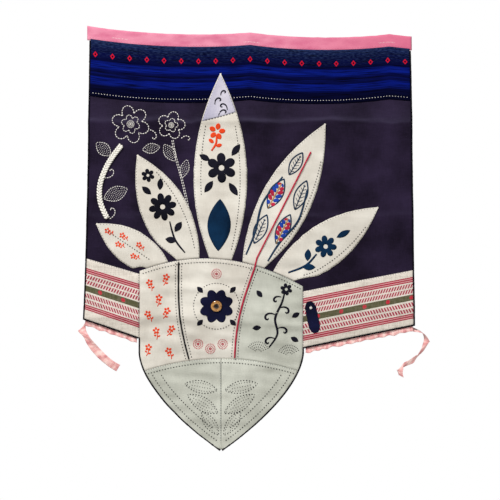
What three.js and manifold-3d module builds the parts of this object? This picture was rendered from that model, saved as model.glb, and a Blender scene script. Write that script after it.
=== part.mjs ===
// Patchwork wall hanging: a dark cotton ground with a woven indigo band and a pink tape heading
// along its top, two striped woven borders that slope to a pointed pennant at the hem, five cream
// petals sewn on above it, black piping round the edge and a pink ribbon tie at each lower corner.
// X runs to the right of a person who faces the hanging, Y into the wall and Z up. The origin is
// the middle of the heading's top edge, where the cloth touches the wall. Sizes are millimetres.
import * as THREE from "three";
import Module from "manifold-3d";
import { mergeVertices } from "three/addons/utils/BufferGeometryUtils.js";

const wasm = await Module();
wasm.setup();

// Cloth and how its pieces lie on one another.
const CLOTH_THICK = 1.0;
const LAYER_GAP = 0.6;
const LAYER_PITCH = CLOTH_THICK + LAYER_GAP;
const BACK_LAYER = 0;
const FRONT_LAYER = 1;
const TOP_LAYER = 2;
const SEAM_GAP = 0.5;

// The outline. Each pin is a point where the heading is held, and sag is how far the edge drops
// between that pin and the next.
const PINS = [
  { x: -293, z: 12, sag: 9 },
  { x: 0, z: 0, sag: 8 },
  { x: 250, z: -3, sag: 0 },
  { x: 291, z: -7.5, sag: 0 },
];
const HEADING_SHOWS = 22.5;
const HEADING_TUCK = 4;
const BAND_HEIGHT_LEFT = 104;
const BAND_HEIGHT_RIGHT = 95;
const GROUND_TUCK = 12;
const HALF_WIDTH_AT_TOP = 289;
const LEFT_FLARE = 10;
const RIGHT_FLARE = 6;
const HEM_LEFT_OUTER = { x: -299, z: -516 };
const HEM_LEFT_INNER = { x: -200, z: -551 };
const HEM_RIGHT_INNER = { x: 97, z: -568.5 };
const HEM_RIGHT_OUTER = { x: 295, z: -527 };
const BORDER_DROP_LEFT_OUTER = 111;
const BORDER_DROP_LEFT_INNER = 117;
const BORDER_DROP_RIGHT_INNER = 103;
const BORDER_DROP_RIGHT_OUTER = 100;

// The cup and the pennant below it.
const CUP_CENTRE = (HEM_LEFT_INNER.x + HEM_RIGHT_INNER.x) / 2;
const CUP_HALF_WIDTH = (HEM_RIGHT_INNER.x - HEM_LEFT_INNER.x) / 2;
const RIM_LEFT_Z = -430;
const RIM_RIGHT_Z = -458;
const RIM_CROWN = 36;
const TURN_IN_Z = -575;
const PENNANT_TIP_Z = -752;
const PENNANT_POWER = 1.7;
const CHEVRON_SIDE_Z = -612;
const CHEVRON_APEX_Z = -586;
const TIP_HALF_WIDTH = 2;

// The five petals: where each stands on the cup's rim, its lean from upright, length and half width.
const PETALS = [
  { name: "petal_1", base: -166, lean: -56, length: 132, half: 25 },
  { name: "petal_2", base: -111, lean: -26, length: 208, half: 36 },
  { name: "petal_3", base: -53, lean: 0, length: 333, half: 42 },
  { name: "petal_4", base: 6, lean: 27, length: 284, half: 39 },
  { name: "petal_5", base: 60, lean: 54, length: 210, half: 33 },
];
const PETAL_FOOT_HALF = 20;
const PETAL_TIP_HALF = 1.2;
const PETAL_FOOT_TURN = 0.3;
const LIFT_STARTS_BELOW_BAND = 62;
const LIFT_ENDS_BELOW_BAND = 18;

// Trimmings.
const PIPING_RADIUS = 1.5;
const COUCHED_RADIUS = 1.25;
const CORD_SIDES = 6;
const EDGE_INSET = 2 * PIPING_RADIUS + SEAM_GAP;
const RIBBON_THICK = 1.0;
const RIBBON_WIDTH = 14;
const BRAID_WIDTH = 10.4;
const BRAID_THICK = 2.6;
const BUTTON_RADIUS = 10;
const BUTTON_HEIGHT = 4.5;
const ROSETTE_RADIUS = 31;
const ROSETTE_NOTCH = 8;
const ROSETTE_LOBES = 8;
const ROSETTE_AT = { x: -60, z: -492 };
const TAB_AT = { x: 112, z: -512 };
const TAB_HALF_WIDTH = 11;
const TAB_HALF_HEIGHT = 29;
const TAB_LEAN = 12;

// The folds, as the distance that the cloth stands off the wall.
const BOW_BETWEEN_PINS = 4.5;
const BOW_FADE = 170;
const BODY_STAND_OFF = 4;
const BODY_STAND_OFF_AT = -220;
const STORAGE_FOLDS = [
  { z: -163, rise: 3.2, half: 52 },
  { z: -331, rise: 1.6, half: 52 },
  { z: -500, rise: 2.2, half: 60 },
];
const HEM_WAVE = 3.5;
const HEM_WAVE_LENGTH = 390;
const HEM_WAVE_START_Z = -150;
const HEM_WAVE_FULL_Z = -560;
const HEM_WAVE_PHASE = 0.9;
const SIDE_CURL = 4;
const SIDE_CURL_FROM = 215;
const SIDE_CURL_TO = 300;
const PENNANT_CURL = 7;

const FINISHES = {
  tape: { color: 0xe6809d, roughness: 0.85 },
  indigo: { color: 0x061045, roughness: 0.9 },
  ground: { color: 0x241d30, roughness: 0.9 },
  stripe: { color: 0xc59a96, roughness: 0.9 },
  cream: { color: 0xe2dfd3, roughness: 0.85 },
  grey: { color: 0xbdbdb1, roughness: 0.9 },
  navy: { color: 0x12122a, roughness: 0.9 },
  black: { color: 0x14121c, roughness: 0.85 },
  red: { color: 0xb8203c, roughness: 0.8 },
  white: { color: 0xe8e3d8, roughness: 0.9 },
  ribbon: { color: 0xf0b8b2, roughness: 0.45 },
  horn: { color: 0xb98a4a, roughness: 0.25 },
};

const materials = Object.fromEntries(
  Object.entries(FINISHES).map(([name, finish]) => [
    name,
    new THREE.MeshStandardMaterial({ ...finish, metalness: 0, side: THREE.DoubleSide }),
  ]),
);

const hanging = new THREE.Group();

function mix(a, b, share) {
  return a + (b - a) * share;
}

function smooth(value, from, to) {
  const share = THREE.MathUtils.clamp((value - from) / (to - from), 0, 1);
  return share * share * (3 - 2 * share);
}

// Where x lies among the pins: the pin to its left, the next one, and the share of the way.
function spanOf(x) {
  const last = PINS.length - 2;
  const index = THREE.MathUtils.clamp(PINS.findIndex((pin) => pin.x > x) - 1, 0, last);
  const [left, right] = [PINS[index], PINS[x > PINS[last + 1].x ? last + 1 : index + 1]];
  return { left, right, share: (x - left.x) / (right.x - left.x || 1) };
}

function headingTop(x) {
  const { left, right, share } = spanOf(THREE.MathUtils.clamp(x, PINS[0].x, PINS.at(-1).x - 0.01));
  return mix(left.z, right.z, share) - left.sag * 4 * share * (1 - share);
}

function bandTop(x) {
  return headingTop(x) - HEADING_SHOWS;
}

function bandBottom(x) {
  const share = (x + HALF_WIDTH_AT_TOP) / (2 * HALF_WIDTH_AT_TOP);
  return bandTop(x) - mix(BAND_HEIGHT_LEFT, BAND_HEIGHT_RIGHT, share);
}

function leftEdge(z) {
  return -HALF_WIDTH_AT_TOP - LEFT_FLARE * (z / HEM_LEFT_OUTER.z) ** 2;
}

function rightEdge(z) {
  return HALF_WIDTH_AT_TOP + RIGHT_FLARE * (z / HEM_RIGHT_OUTER.z);
}

function onLine(a, b, x) {
  return mix(a.z, b.z, (x - a.x) / (b.x - a.x));
}

function leftHem(x) {
  return onLine(HEM_LEFT_OUTER, HEM_LEFT_INNER, x);
}

function rightHem(x) {
  return onLine(HEM_RIGHT_INNER, HEM_RIGHT_OUTER, x);
}

function leftBorderTop(x) {
  const share = (x - HEM_LEFT_OUTER.x) / (HEM_LEFT_INNER.x - HEM_LEFT_OUTER.x);
  return leftHem(x) + mix(BORDER_DROP_LEFT_OUTER, BORDER_DROP_LEFT_INNER, share);
}

function rightBorderTop(x) {
  const share = (x - HEM_RIGHT_INNER.x) / (HEM_RIGHT_OUTER.x - HEM_RIGHT_INNER.x);
  return rightHem(x) + mix(BORDER_DROP_RIGHT_INNER, BORDER_DROP_RIGHT_OUTER, share);
}

// Half the width of the cup and pennant at a height, out to a line inside the piping's outside.
function halfWidthAt(z, inset = 0) {
  const height = TURN_IN_Z - PENNANT_TIP_Z;
  const share = THREE.MathUtils.clamp((TURN_IN_Z - z) / height, 0, 1);
  const slope = (CUP_HALF_WIDTH * PENNANT_POWER * share ** (PENNANT_POWER - 1)) / height;
  return CUP_HALF_WIDTH * (1 - share ** PENNANT_POWER) - inset * Math.hypot(1, slope);
}

function rim(x) {
  const share = (x - CUP_CENTRE + CUP_HALF_WIDTH) / (2 * CUP_HALF_WIDTH);
  return mix(RIM_LEFT_Z, RIM_RIGHT_Z, share) + RIM_CROWN * 4 * share * (1 - share);
}

function chevron(x) {
  return mix(CHEVRON_APEX_Z, CHEVRON_SIDE_Z, ((x - CUP_CENTRE) / CUP_HALF_WIDTH) ** 2);
}

// The two seams between the cup's three gores.
function leftSeam(z) {
  const share = (RIM_LEFT_Z - z) / (RIM_LEFT_Z - CHEVRON_SIDE_Z);
  return -128 + 26 * share - 9 * Math.sin(Math.PI * share);
}

function rightSeam(z) {
  const share = (RIM_LEFT_Z - z) / (RIM_LEFT_Z - CHEVRON_SIDE_Z);
  return 6 - 34 * share - 10 * Math.sin(Math.PI * share);
}

// How far the back of the cloth stands off the wall.
function standOff(x, z) {
  const { share, left } = spanOf(THREE.MathUtils.clamp(x, PINS[0].x, PINS.at(-1).x));
  const bow = left.sag > 0 ? BOW_BETWEEN_PINS * Math.sin(Math.PI * share) ** 2 : 0;
  let off = bow * Math.exp(-Math.max(0, -z) / BOW_FADE);
  off += BODY_STAND_OFF * smooth(-z, 0, -BODY_STAND_OFF_AT);
  for (const fold of STORAGE_FOLDS) {
    const away = Math.min(1, Math.abs(z - fold.z) / fold.half);
    off += fold.rise * Math.cos((Math.PI / 2) * away) ** 2;
  }
  const hem = smooth(-z, -HEM_WAVE_START_Z, -HEM_WAVE_FULL_Z);
  off += HEM_WAVE * hem * (1 + Math.cos((2 * Math.PI * x) / HEM_WAVE_LENGTH + HEM_WAVE_PHASE));
  off += SIDE_CURL * smooth(Math.abs(x), SIDE_CURL_FROM, SIDE_CURL_TO) * smooth(-z, 0, 120);
  off += PENNANT_CURL * smooth(-z, -TURN_IN_Z, -PENNANT_TIP_Z);
  return off;
}

function add(name, material, geometry) {
  const mesh = new THREE.Mesh(geometry, material);
  mesh.name = name;
  hanging.add(mesh);
  return mesh;
}

// A sheet of cloth: a thin box whose faces are moved onto the folds. place(across, along) says
// where a point of the flat cloth hangs, with both shares from 0 to 1.
function sheetGeometry({ layer, across, along, place }) {
  const geometry = new THREE.BoxGeometry(1, 1, 1, across, 1, along);
  const points = geometry.attributes.position;
  for (let i = 0; i < points.count; i += 1) {
    const at = place(points.getX(i) + 0.5, points.getZ(i) + 0.5);
    const front = points.getY(i) > 0 ? 0 : CLOTH_THICK;
    const off = standOff(at.x, at.z) + layer * LAYER_PITCH + (at.lift ?? 0) + front;
    points.setXYZ(i, at.x, -off, at.z);
  }
  return geometry;
}

// A length of cloth between two upright edges and two lines that run across it.
function panel(name, material, { layer, across, along, left, right, bottom, top }) {
  const place = (u, v) => {
    const guess = mix(left(0), right(0), u);
    const height = mix(bottom(guess), top(guess), v);
    const x = mix(left(height), right(height), u);
    return { x, z: mix(bottom(x), top(x), v) };
  };
  add(name, material, sheetGeometry({ layer, across, along, place }));
}

function heading() {
  panel("heading_tape", materials.tape, {
    layer: BACK_LAYER,
    across: 28,
    along: 2,
    left: () => PINS[0].x,
    right: () => PINS.at(-1).x,
    bottom: (x) => bandTop(x) - HEADING_TUCK,
    top: headingTop,
  });
}

function indigoBand() {
  panel("indigo_band", materials.indigo, {
    layer: FRONT_LAYER,
    across: 30,
    along: 6,
    left: (z) => leftEdge(z) + EDGE_INSET,
    right: (z) => rightEdge(z) - EDGE_INSET,
    bottom: bandBottom,
    top: bandTop,
  });
}

// The ground's lower edge is hidden behind the borders and the cup.
function groundBottom(x) {
  const [leftCorner, rightCorner] = [HEM_LEFT_INNER.x, HEM_RIGHT_INNER.x];
  if (x < leftCorner) return leftBorderTop(x) - GROUND_TUCK;
  if (x > rightCorner) return rightBorderTop(x) - GROUND_TUCK;
  const share = (x - leftCorner) / (rightCorner - leftCorner);
  return mix(leftBorderTop(leftCorner), rightBorderTop(rightCorner), share) - GROUND_TUCK;
}

function ground() {
  panel("ground_cloth", materials.ground, {
    layer: BACK_LAYER,
    across: 30,
    along: 18,
    left: (z) => leftEdge(z) + EDGE_INSET,
    right: (z) => rightEdge(z) - EDGE_INSET,
    bottom: groundBottom,
    top: (x) => bandBottom(x) + GROUND_TUCK,
  });
}

function borders() {
  const rows = 6;
  const innerEnd = CUP_HALF_WIDTH - EDGE_INSET + SEAM_GAP;
  panel("border_left", materials.stripe, {
    layer: FRONT_LAYER,
    across: 6,
    along: rows,
    left: (z) => leftEdge(z) + EDGE_INSET,
    right: () => CUP_CENTRE - innerEnd,
    bottom: (x) => leftHem(x) + EDGE_INSET,
    top: leftBorderTop,
  });
  panel("border_right", materials.stripe, {
    layer: FRONT_LAYER,
    across: 11,
    along: rows,
    left: () => CUP_CENTRE + innerEnd,
    right: (z) => rightEdge(z) - EDGE_INSET,
    bottom: (x) => rightHem(x) + EDGE_INSET,
    top: rightBorderTop,
  });
}

// The cup is three gores side by side, above the chevron seam.
function gores() {
  const pieces = [
    { name: "gore_left", finish: "cream", left: null, right: leftSeam, across: 5 },
    { name: "gore_middle", finish: "cream", left: leftSeam, right: rightSeam, across: 9 },
    { name: "gore_right", finish: "grey", left: rightSeam, right: null, across: 6 },
  ];
  const outerLeft = (z) => CUP_CENTRE - halfWidthAt(z, EDGE_INSET);
  const outerRight = (z) => CUP_CENTRE + halfWidthAt(z, EDGE_INSET);
  for (const { name, finish, left, right, across } of pieces) {
    panel(name, materials[finish], {
      layer: FRONT_LAYER,
      across,
      along: 12,
      left: left ? (z) => left(z) + SEAM_GAP / 2 : outerLeft,
      right: right ? (z) => right(z) - SEAM_GAP / 2 : outerRight,
      bottom: (x) => chevron(x) + SEAM_GAP / 2,
      top: (x) => rim(x) - SEAM_GAP / 2,
    });
  }
}

// The pennant's point is two halves that meet at a seam down its middle.
function pennantHalves() {
  const lowest = PENNANT_TIP_Z + 2.2 * EDGE_INSET;
  const reach = (z) => Math.max(halfWidthAt(z, EDGE_INSET), TIP_HALF_WIDTH);
  let corner = CHEVRON_SIDE_Z;
  for (let i = 0; i < 6; i += 1) corner = chevron(CUP_CENTRE + reach(corner)) - SEAM_GAP / 2;
  for (const side of [-1, 1]) {
    const place = (u, v) => {
      const out = side < 0 ? 1 - u : u;
      const rise = v ** 0.85;
      const half = mix(SEAM_GAP / 2, reach(mix(lowest, corner, rise)), out);
      const top = CUP_CENTRE + side * mix(SEAM_GAP / 2, reach(corner), out);
      return { x: CUP_CENTRE + side * half, z: mix(lowest, chevron(top) - SEAM_GAP / 2, rise) };
    };
    const name = side < 0 ? "pennant_left" : "pennant_right";
    add(name, materials.grey, sheetGeometry({ layer: FRONT_LAYER, across: 7, along: 10, place }));
  }
}

// A point of a petal: across runs from its left edge to its right one, along from foot to tip.
function onPetal(petal, across, along) {
  const foot = { x: petal.base, z: rim(petal.base) + SEAM_GAP };
  const lean = THREE.MathUtils.degToRad(petal.lean);
  const slope = Math.atan2(rim(petal.base + 1) - rim(petal.base - 1), 2);
  const turn = mix(slope, -lean, smooth(along, 0, PETAL_FOOT_TURN));
  const half =
    Math.max(PETAL_FOOT_HALF * (1 - along) ** 2 + petal.half * 4 * along * (1 - along), PETAL_TIP_HALF);
  const reach = petal.length * along;
  const out = (across - 0.5) * 2 * half;
  const x = foot.x + reach * Math.sin(lean) + out * Math.cos(turn);
  const z = foot.z + reach * Math.cos(lean) + out * Math.sin(turn);
  const edge = bandBottom(x);
  const lift = LAYER_PITCH * smooth(z, edge - LIFT_STARTS_BELOW_BAND, edge - LIFT_ENDS_BELOW_BAND);
  return { x, z, lift };
}

function petals() {
  for (const petal of PETALS) {
    const place = (u, v) => onPetal(petal, u, v);
    const along = Math.round(petal.length / 15);
    const across = petal.half > 30 ? 6 : 4;
    add(petal.name, materials.cream, sheetGeometry({ layer: FRONT_LAYER, across, along, place }));
  }
}

// A round cord on the folds, along points that say where it lies and how deep its centre is.
function cord(name, material, { radius, step, points, depth }) {
  const line = new THREE.CatmullRomCurve3(
    points.map(({ x, z, lift = 0 }) => new THREE.Vector3(x, -(standOff(x, z) + depth + lift), z)),
    false,
    "centripetal",
  );
  const section = new THREE.Shape();
  section.setFromPoints(
    Array.from({ length: CORD_SIDES }, (_, i) => {
      const turn = (2 * Math.PI * i) / CORD_SIDES;
      return new THREE.Vector2(radius * Math.cos(turn), radius * Math.sin(turn));
    }),
  );
  const steps = Math.max(2, Math.round(line.getLength() / step));
  const geometry = new THREE.ExtrudeGeometry(section, {
    steps,
    extrudePath: line,
    bevelEnabled: false,
  });
  add(name, material, geometry);
}

function between(count, point) {
  return Array.from({ length: count + 1 }, (_, i) => point(i / count));
}

function piping() {
  const radius = PIPING_RADIUS;
  const depth = LAYER_PITCH / 2 + CLOTH_THICK / 2;
  const step = 20;
  const corner = 2 * radius + 2 * SEAM_GAP;
  const side = (name, edge, x0, inward, lowest) => {
    const top = bandTop(x0) - HEADING_TUCK - 4 * SEAM_GAP;
    const points = between(16, (share) => {
      const z = mix(top, lowest, share);
      return { x: edge(z) + inward * radius, z };
    });
    cord(name, materials.black, { radius, step, depth, points });
  };
  side("piping_left_side", leftEdge, -HALF_WIDTH_AT_TOP, 1, HEM_LEFT_OUTER.z);
  side("piping_right_side", rightEdge, HALF_WIDTH_AT_TOP, -1, HEM_RIGHT_OUTER.z);
  const hem = (name, line, from, to) => {
    const points = between(8, (share) => {
      const x = mix(from, to, share);
      return { x, z: line(x) + radius };
    });
    cord(name, materials.black, { radius, step, depth, points });
  };
  hem("piping_left_hem", leftHem, HEM_LEFT_OUTER.x + corner, HEM_LEFT_INNER.x - SEAM_GAP);
  hem("piping_right_hem", rightHem, HEM_RIGHT_INNER.x + SEAM_GAP, HEM_RIGHT_OUTER.x - corner);
  for (const way of [-1, 1]) {
    const start = (way < 0 ? HEM_LEFT_INNER.z : HEM_RIGHT_INNER.z) - SEAM_GAP;
    const finish = PENNANT_TIP_Z + 2 * radius;
    const points = between(18, (share) => {
      const z = mix(start, finish, Math.sin((Math.PI / 2) * share));
      const half = Math.max(halfWidthAt(z, radius), radius + SEAM_GAP);
      return { x: CUP_CENTRE + way * half, z };
    });
    const name = way < 0 ? "piping_pennant_left" : "piping_pennant_right";
    cord(name, materials.black, { radius, step: 16, depth, points });
  }
}

// Cords couched over the gores' seams. The red one goes on up the fourth petal's midrib.
function couchedCords() {
  const radius = COUCHED_RADIUS;
  const depth = FRONT_LAYER * LAYER_PITCH + CLOTH_THICK + LAYER_GAP + radius;
  const seamPoints = (seam, clear) =>
    between(9, (share) => {
      const z = mix(chevron(seam(CHEVRON_SIDE_Z)) + 2, rim(seam(RIM_LEFT_Z)) - clear, share);
      return { x: seam(z), z };
    });
  cord("black_cord", materials.black, {
    radius,
    step: 14,
    depth,
    points: seamPoints(leftSeam, 3),
  });
  const petal = PETALS[3];
  const midrib = between(14, (share) => onPetal(petal, 0.5, mix(0.05, 0.8, share)));
  cord("red_cord", materials.red, {
    radius,
    step: 14,
    depth,
    points: [...seamPoints(rightSeam, 6), ...midrib],
  });
}

// The thick white stem couched on the ground, a flat pair of cords.
const BRAID_PATH = [
  { x: -256, z: -334 },
  { x: -268, z: -306 },
  { x: -269, z: -276 },
  { x: -259, z: -246 },
  { x: -245, z: -222 },
  { x: -231, z: -204 },
];

function braid() {
  const depth = BACK_LAYER * LAYER_PITCH + CLOTH_THICK + LAYER_GAP;
  const line = new THREE.CatmullRomCurve3(
    BRAID_PATH.map(({ x, z }) => new THREE.Vector3(x, 0, z)),
  );
  const steps = 16;
  const geometry = new THREE.BoxGeometry(1, 1, 1, 1, 1, steps);
  const points = geometry.attributes.position;
  for (let i = 0; i < points.count; i += 1) {
    const share = points.getZ(i) + 0.5;
    const at = line.getPointAt(share);
    const way = line.getTangentAt(share);
    const out = points.getX(i) * BRAID_WIDTH;
    const [x, z] = [at.x + out * way.z, at.z - out * way.x];
    const off = standOff(x, z) + depth + (points.getY(i) > 0 ? 0 : BRAID_THICK);
    points.setXYZ(i, x, -off, z);
  }
  add("braid_stem", materials.white, geometry);
}

// A flower of navy cotton with a turned horn button at its centre.
function rosetteAndButton() {
  const place = (u, v) => {
    const [across, up] = [2 * u - 1, 2 * v - 1];
    const [x, z] = [across * Math.sqrt(1 - up ** 2 / 2), up * Math.sqrt(1 - across ** 2 / 2)];
    const lobe = Math.abs(Math.sin((ROSETTE_LOBES / 2) * Math.atan2(z, x)));
    const radius = ROSETTE_RADIUS - ROSETTE_NOTCH * (1 - lobe) * Math.hypot(x, z) ** 2;
    return { x: ROSETTE_AT.x + radius * x, z: ROSETTE_AT.z + radius * z };
  };
  const grid = { layer: TOP_LAYER, across: 12, along: 12, place };
  add("rosette", materials.navy, sheetGeometry(grid));

  const profile = [
    [0, 0],
    [BUTTON_RADIUS - 1, 0],
    [BUTTON_RADIUS, 1],
    [BUTTON_RADIUS, 2.2],
    [BUTTON_RADIUS - 2, 3.4],
    [BUTTON_RADIUS - 5.5, 3.1],
    [BUTTON_RADIUS - 6.5, BUTTON_HEIGHT - 0.4],
    [0, BUTTON_HEIGHT],
  ].map(([r, y]) => new THREE.Vector2(r, y));
  const button = new THREE.LatheGeometry(profile, 20);
  const { x, z } = ROSETTE_AT;
  const reach = 8;
  const slopeX = (standOff(x + reach, z) - standOff(x - reach, z)) / (2 * reach);
  const slopeZ = (standOff(x, z + reach) - standOff(x, z - reach)) / (2 * reach);
  const mesh = add("button", materials.horn, button);
  const outward = new THREE.Vector3(-slopeX, -1, -slopeZ).normalize();
  mesh.quaternion.setFromUnitVectors(new THREE.Vector3(0, 1, 0), outward);
  mesh.position.set(x, -(standOff(x, z) + 3 * LAYER_PITCH + 0.1), z);
}

// A small navy tab with a scalloped edge, sewn over the inner end of the right border.
function tab() {
  const lean = THREE.MathUtils.degToRad(TAB_LEAN);
  const place = (u, v) => {
    const up = (v - 0.5) * 2;
    const shoulder = Math.sqrt(Math.max(0, 1 - Math.abs(up) ** 5));
    const scallop = 1 - 0.1 * Math.abs(Math.cos(2.5 * Math.PI * up));
    const out = (u - 0.5) * 2 * TAB_HALF_WIDTH * Math.max(0.3, shoulder * scallop);
    const rise = up * TAB_HALF_HEIGHT;
    return {
      x: TAB_AT.x + out * Math.cos(lean) - rise * Math.sin(lean),
      z: TAB_AT.z + out * Math.sin(lean) + rise * Math.cos(lean),
    };
  };
  add("tab_right", materials.navy, sheetGeometry({ layer: TOP_LAYER, across: 3, along: 14, place }));
}

// One ribbon behind a hem and hanging free past its outer corner. Each section is a straight
// line across the ribbon: its middle, the way it points in the view and how far it is turned
// edge-on, and how far it stands off the wall beyond the cloth there.
const LEFT_TAIL = [
  { x: -287, z: -521, points: 47, turned: 3, off: -1.95 },
  { x: -298, z: -526, points: 62, turned: -8, off: -1.4 },
  { x: -301, z: -536, points: 8, turned: -6, off: 0.5 },
  { x: -292, z: -548, points: -10, turned: 20, off: 5 },
  { x: -285, z: -559, points: 8, turned: 6, off: 5 },
  { x: -275, z: -572, points: 28, turned: -16, off: 3 },
  { x: -262, z: -585, points: 42, turned: 8, off: 4 },
  { x: -248, z: -596, points: 50, turned: 14, off: 6 },
  { x: -236, z: -603, points: 58, turned: 10, off: 7 },
];
const RIGHT_TAIL = [
  { x: 284, z: -531, points: -53, turned: -3, off: -1.95 },
  { x: 298, z: -535, points: -50, turned: 50, off: -1 },
  { x: 309, z: -540, points: -40, turned: 76, off: 4 },
  { x: 315, z: -552, points: -8, turned: 56, off: 7 },
  { x: 312, z: -562, points: 34, turned: 12, off: 8 },
  { x: 302, z: -579, points: 38, turned: -8, off: 5 },
  { x: 293, z: -587, points: 78, turned: 20, off: 7 },
  { x: 281, z: -594, points: 62, turned: 24, off: 4 },
  { x: 270, z: -600, points: 50, turned: -4, off: 3 },
  { x: 268, z: -608, points: -10, turned: 52, off: 5 },
  { x: 270, z: -617, points: -24, turned: 56, off: 7 },
];
const CRUMPLE_PITCH = 19;
const CRUMPLE_DEPTH = 0.9;
const TRIM_SET_BACK = 1.1;
const TRIM_HIDDEN = 6;

function ribbonStrip(sections, rowsBetween) {
  const rows = (sections.length - 1) * rowsBetween;
  const geometry = new THREE.BoxGeometry(1, 1, 1, 2, 1, rows);
  const points = geometry.attributes.position;
  const ends = sections.map(({ x, z, points: heading, turned, off }) => {
    const way = THREE.MathUtils.degToRad(heading);
    const roll = THREE.MathUtils.degToRad(turned);
    const middle = new THREE.Vector3(x, -(standOff(x, z) + off), z);
    const across = new THREE.Vector3(
      Math.cos(way) * Math.cos(roll),
      -Math.sin(roll),
      Math.sin(way) * Math.cos(roll),
    );
    return { middle, across };
  });
  const middles = new THREE.CatmullRomCurve3(ends.map(({ middle }) => middle));
  for (let i = 0; i < points.count; i += 1) {
    const share = points.getZ(i) + 0.5;
    const place = share * (sections.length - 1);
    const index = Math.min(Math.floor(place), sections.length - 2);
    const across = ends[index].across.clone().lerp(ends[index + 1].across, place - index);
    across.normalize();
    const middle = middles.getPoint(share);
    const normal = new THREE.Vector3().crossVectors(across, middles.getTangent(share)).normalize();
    const at = middle.addScaledVector(across, points.getX(i) * RIBBON_WIDTH);
    at.addScaledVector(normal, -points.getY(i) * RIBBON_THICK);
    points.setXYZ(i, at.x, at.y, at.z);
  }
  return geometry;
}

function trimStrip(line, from, to) {
  const columns = Math.max(6, Math.round(Math.abs(to - from) / 9));
  return sheetGeometry({
    layer: BACK_LAYER,
    across: columns,
    along: 2,
    place: (u, v) => {
      const x = mix(from, to, u);
      const wave = Math.sin((2 * Math.PI * (x - from)) / CRUMPLE_PITCH);
      const low = line(x) - (RIBBON_WIDTH - TRIM_HIDDEN) - wave;
      return {
        x,
        z: mix(low, line(x) + TRIM_HIDDEN, v),
        lift: -TRIM_SET_BACK - CRUMPLE_DEPTH * (1 + wave * (1 - v)),
      };
    },
  });
}

// A three.js geometry as a solid for joining, and back.
function toSolid(geometry) {
  const bare = new THREE.BufferGeometry().setAttribute("position", geometry.attributes.position);
  bare.setIndex(geometry.index);
  const merged = mergeVertices(bare, 1e-3);
  return new wasm.Manifold(
    new wasm.Mesh({
      numProp: 3,
      vertProperties: new Float32Array(merged.attributes.position.array),
      triVerts: new Uint32Array(merged.index.array),
    }),
  );
}

function toGeometry(solid) {
  const { vertProperties, triVerts } = solid.getMesh();
  return new THREE.BufferGeometry()
    .setAttribute("position", new THREE.BufferAttribute(vertProperties, 3))
    .setIndex(new THREE.BufferAttribute(triVerts, 1));
}

function ribbons() {
  const left = toSolid(trimStrip(leftHem, HEM_LEFT_OUTER.x + 4, HEM_LEFT_INNER.x - 3));
  const right = toSolid(trimStrip(rightHem, HEM_RIGHT_INNER.x + 3, HEM_RIGHT_OUTER.x - 4));
  const leftTail = toSolid(ribbonStrip(LEFT_TAIL, 2));
  const rightTail = toSolid(ribbonStrip(RIGHT_TAIL, 2));
  add("ribbon_left", materials.ribbon, toGeometry(left.add(leftTail)));
  add("ribbon_right", materials.ribbon, toGeometry(right.add(rightTail)));
}

heading();
indigoBand();
ground();
borders();
gores();
pennantHalves();
petals();
piping();
couchedCords();
braid();
rosetteAndButton();
tab();
ribbons();

export default hanging;
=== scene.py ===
"""Looks of the patchwork wall hanging: cloth on the folds of its solids, woven borders, sewn prints,
cords and hand stitching."""
import math
from functools import partial

import bmesh
import bpy
from mathutils import Matrix, Vector, noise


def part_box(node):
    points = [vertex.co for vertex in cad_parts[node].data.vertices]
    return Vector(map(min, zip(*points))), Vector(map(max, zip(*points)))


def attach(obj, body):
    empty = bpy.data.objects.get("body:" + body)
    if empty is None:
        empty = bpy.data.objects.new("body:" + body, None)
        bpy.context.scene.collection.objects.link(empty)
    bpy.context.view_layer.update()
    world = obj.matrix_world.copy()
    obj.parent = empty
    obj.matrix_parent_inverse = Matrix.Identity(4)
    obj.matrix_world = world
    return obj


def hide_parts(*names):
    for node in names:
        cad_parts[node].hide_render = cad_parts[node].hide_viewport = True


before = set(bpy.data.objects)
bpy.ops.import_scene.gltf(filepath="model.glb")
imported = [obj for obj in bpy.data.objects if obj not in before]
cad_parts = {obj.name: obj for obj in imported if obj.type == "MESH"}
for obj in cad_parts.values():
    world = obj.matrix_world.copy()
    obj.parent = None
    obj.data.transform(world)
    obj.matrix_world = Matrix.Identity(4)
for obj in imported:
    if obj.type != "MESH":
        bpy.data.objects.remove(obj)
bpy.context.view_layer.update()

# Everything below is in millimetres in the part's own frame, and is turned to metres where a
# vertex is placed. The hanging faces -Y, and a point of the view is (x, z).
MM = 0.001
BODY = "root"

# Cloth is CLOTH thick, and its layers lie PITCH apart from the back one outwards. It stops EDGE
# inside the outline, under the piping, and one layer is tucked UNDERLAP under the next.
CLOTH = 1.0
PITCH = 1.6
BACK, FRONT, TOP = 0, 1, 2
EDGE = 2.2
UNDERLAP = 12
# A petal climbs over the foot of the indigo band between these distances below it.
CLIMB = (62, 18)
PIPING_RADIUS = 1.5
COUCHED_RADIUS = 1.25
# A cord's UV map counts this many strands round it.
STRANDS = 2

# The outline, as in the solids. A pin is (x, height of the top edge, sag to the next pin).
PINS = ((-293, 12, 9), (0, 0, 8), (250, -3, 0), (291, -7.5, 0))
HEADING_SHOWS = 22.5
BAND_HEIGHT = (104, 95)
HALF_WIDTH = 289
# How far the left and the right side lean out at the hem. A hem, and a border's upper edge, runs
# from one (x, z) to another.
FLARE = (10, 6)
HEM_LEFT = ((-299, -516), (-200, -551))
HEM_RIGHT = ((97, -568.5), (295, -527))
BORDER_TOP_LEFT = ((-299, -405), (-200, -434))
BORDER_TOP_RIGHT = ((97, -465.5), (295, -427))
# The cup's rim is (left height, right height, rise between them). Below TURN_IN_Z its sides curve in
# to the tip, and CHEVRON is the height of the seam above the point at its middle and at its sides.
CUP_CENTRE = -51.5
CUP_HALF_WIDTH = 148.5
RIM = (-430, -458, 36)
TURN_IN_Z = -575
TIP_Z = -752
TIP_POWER = 1.7
CHEVRON = (-586, -612)
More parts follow.
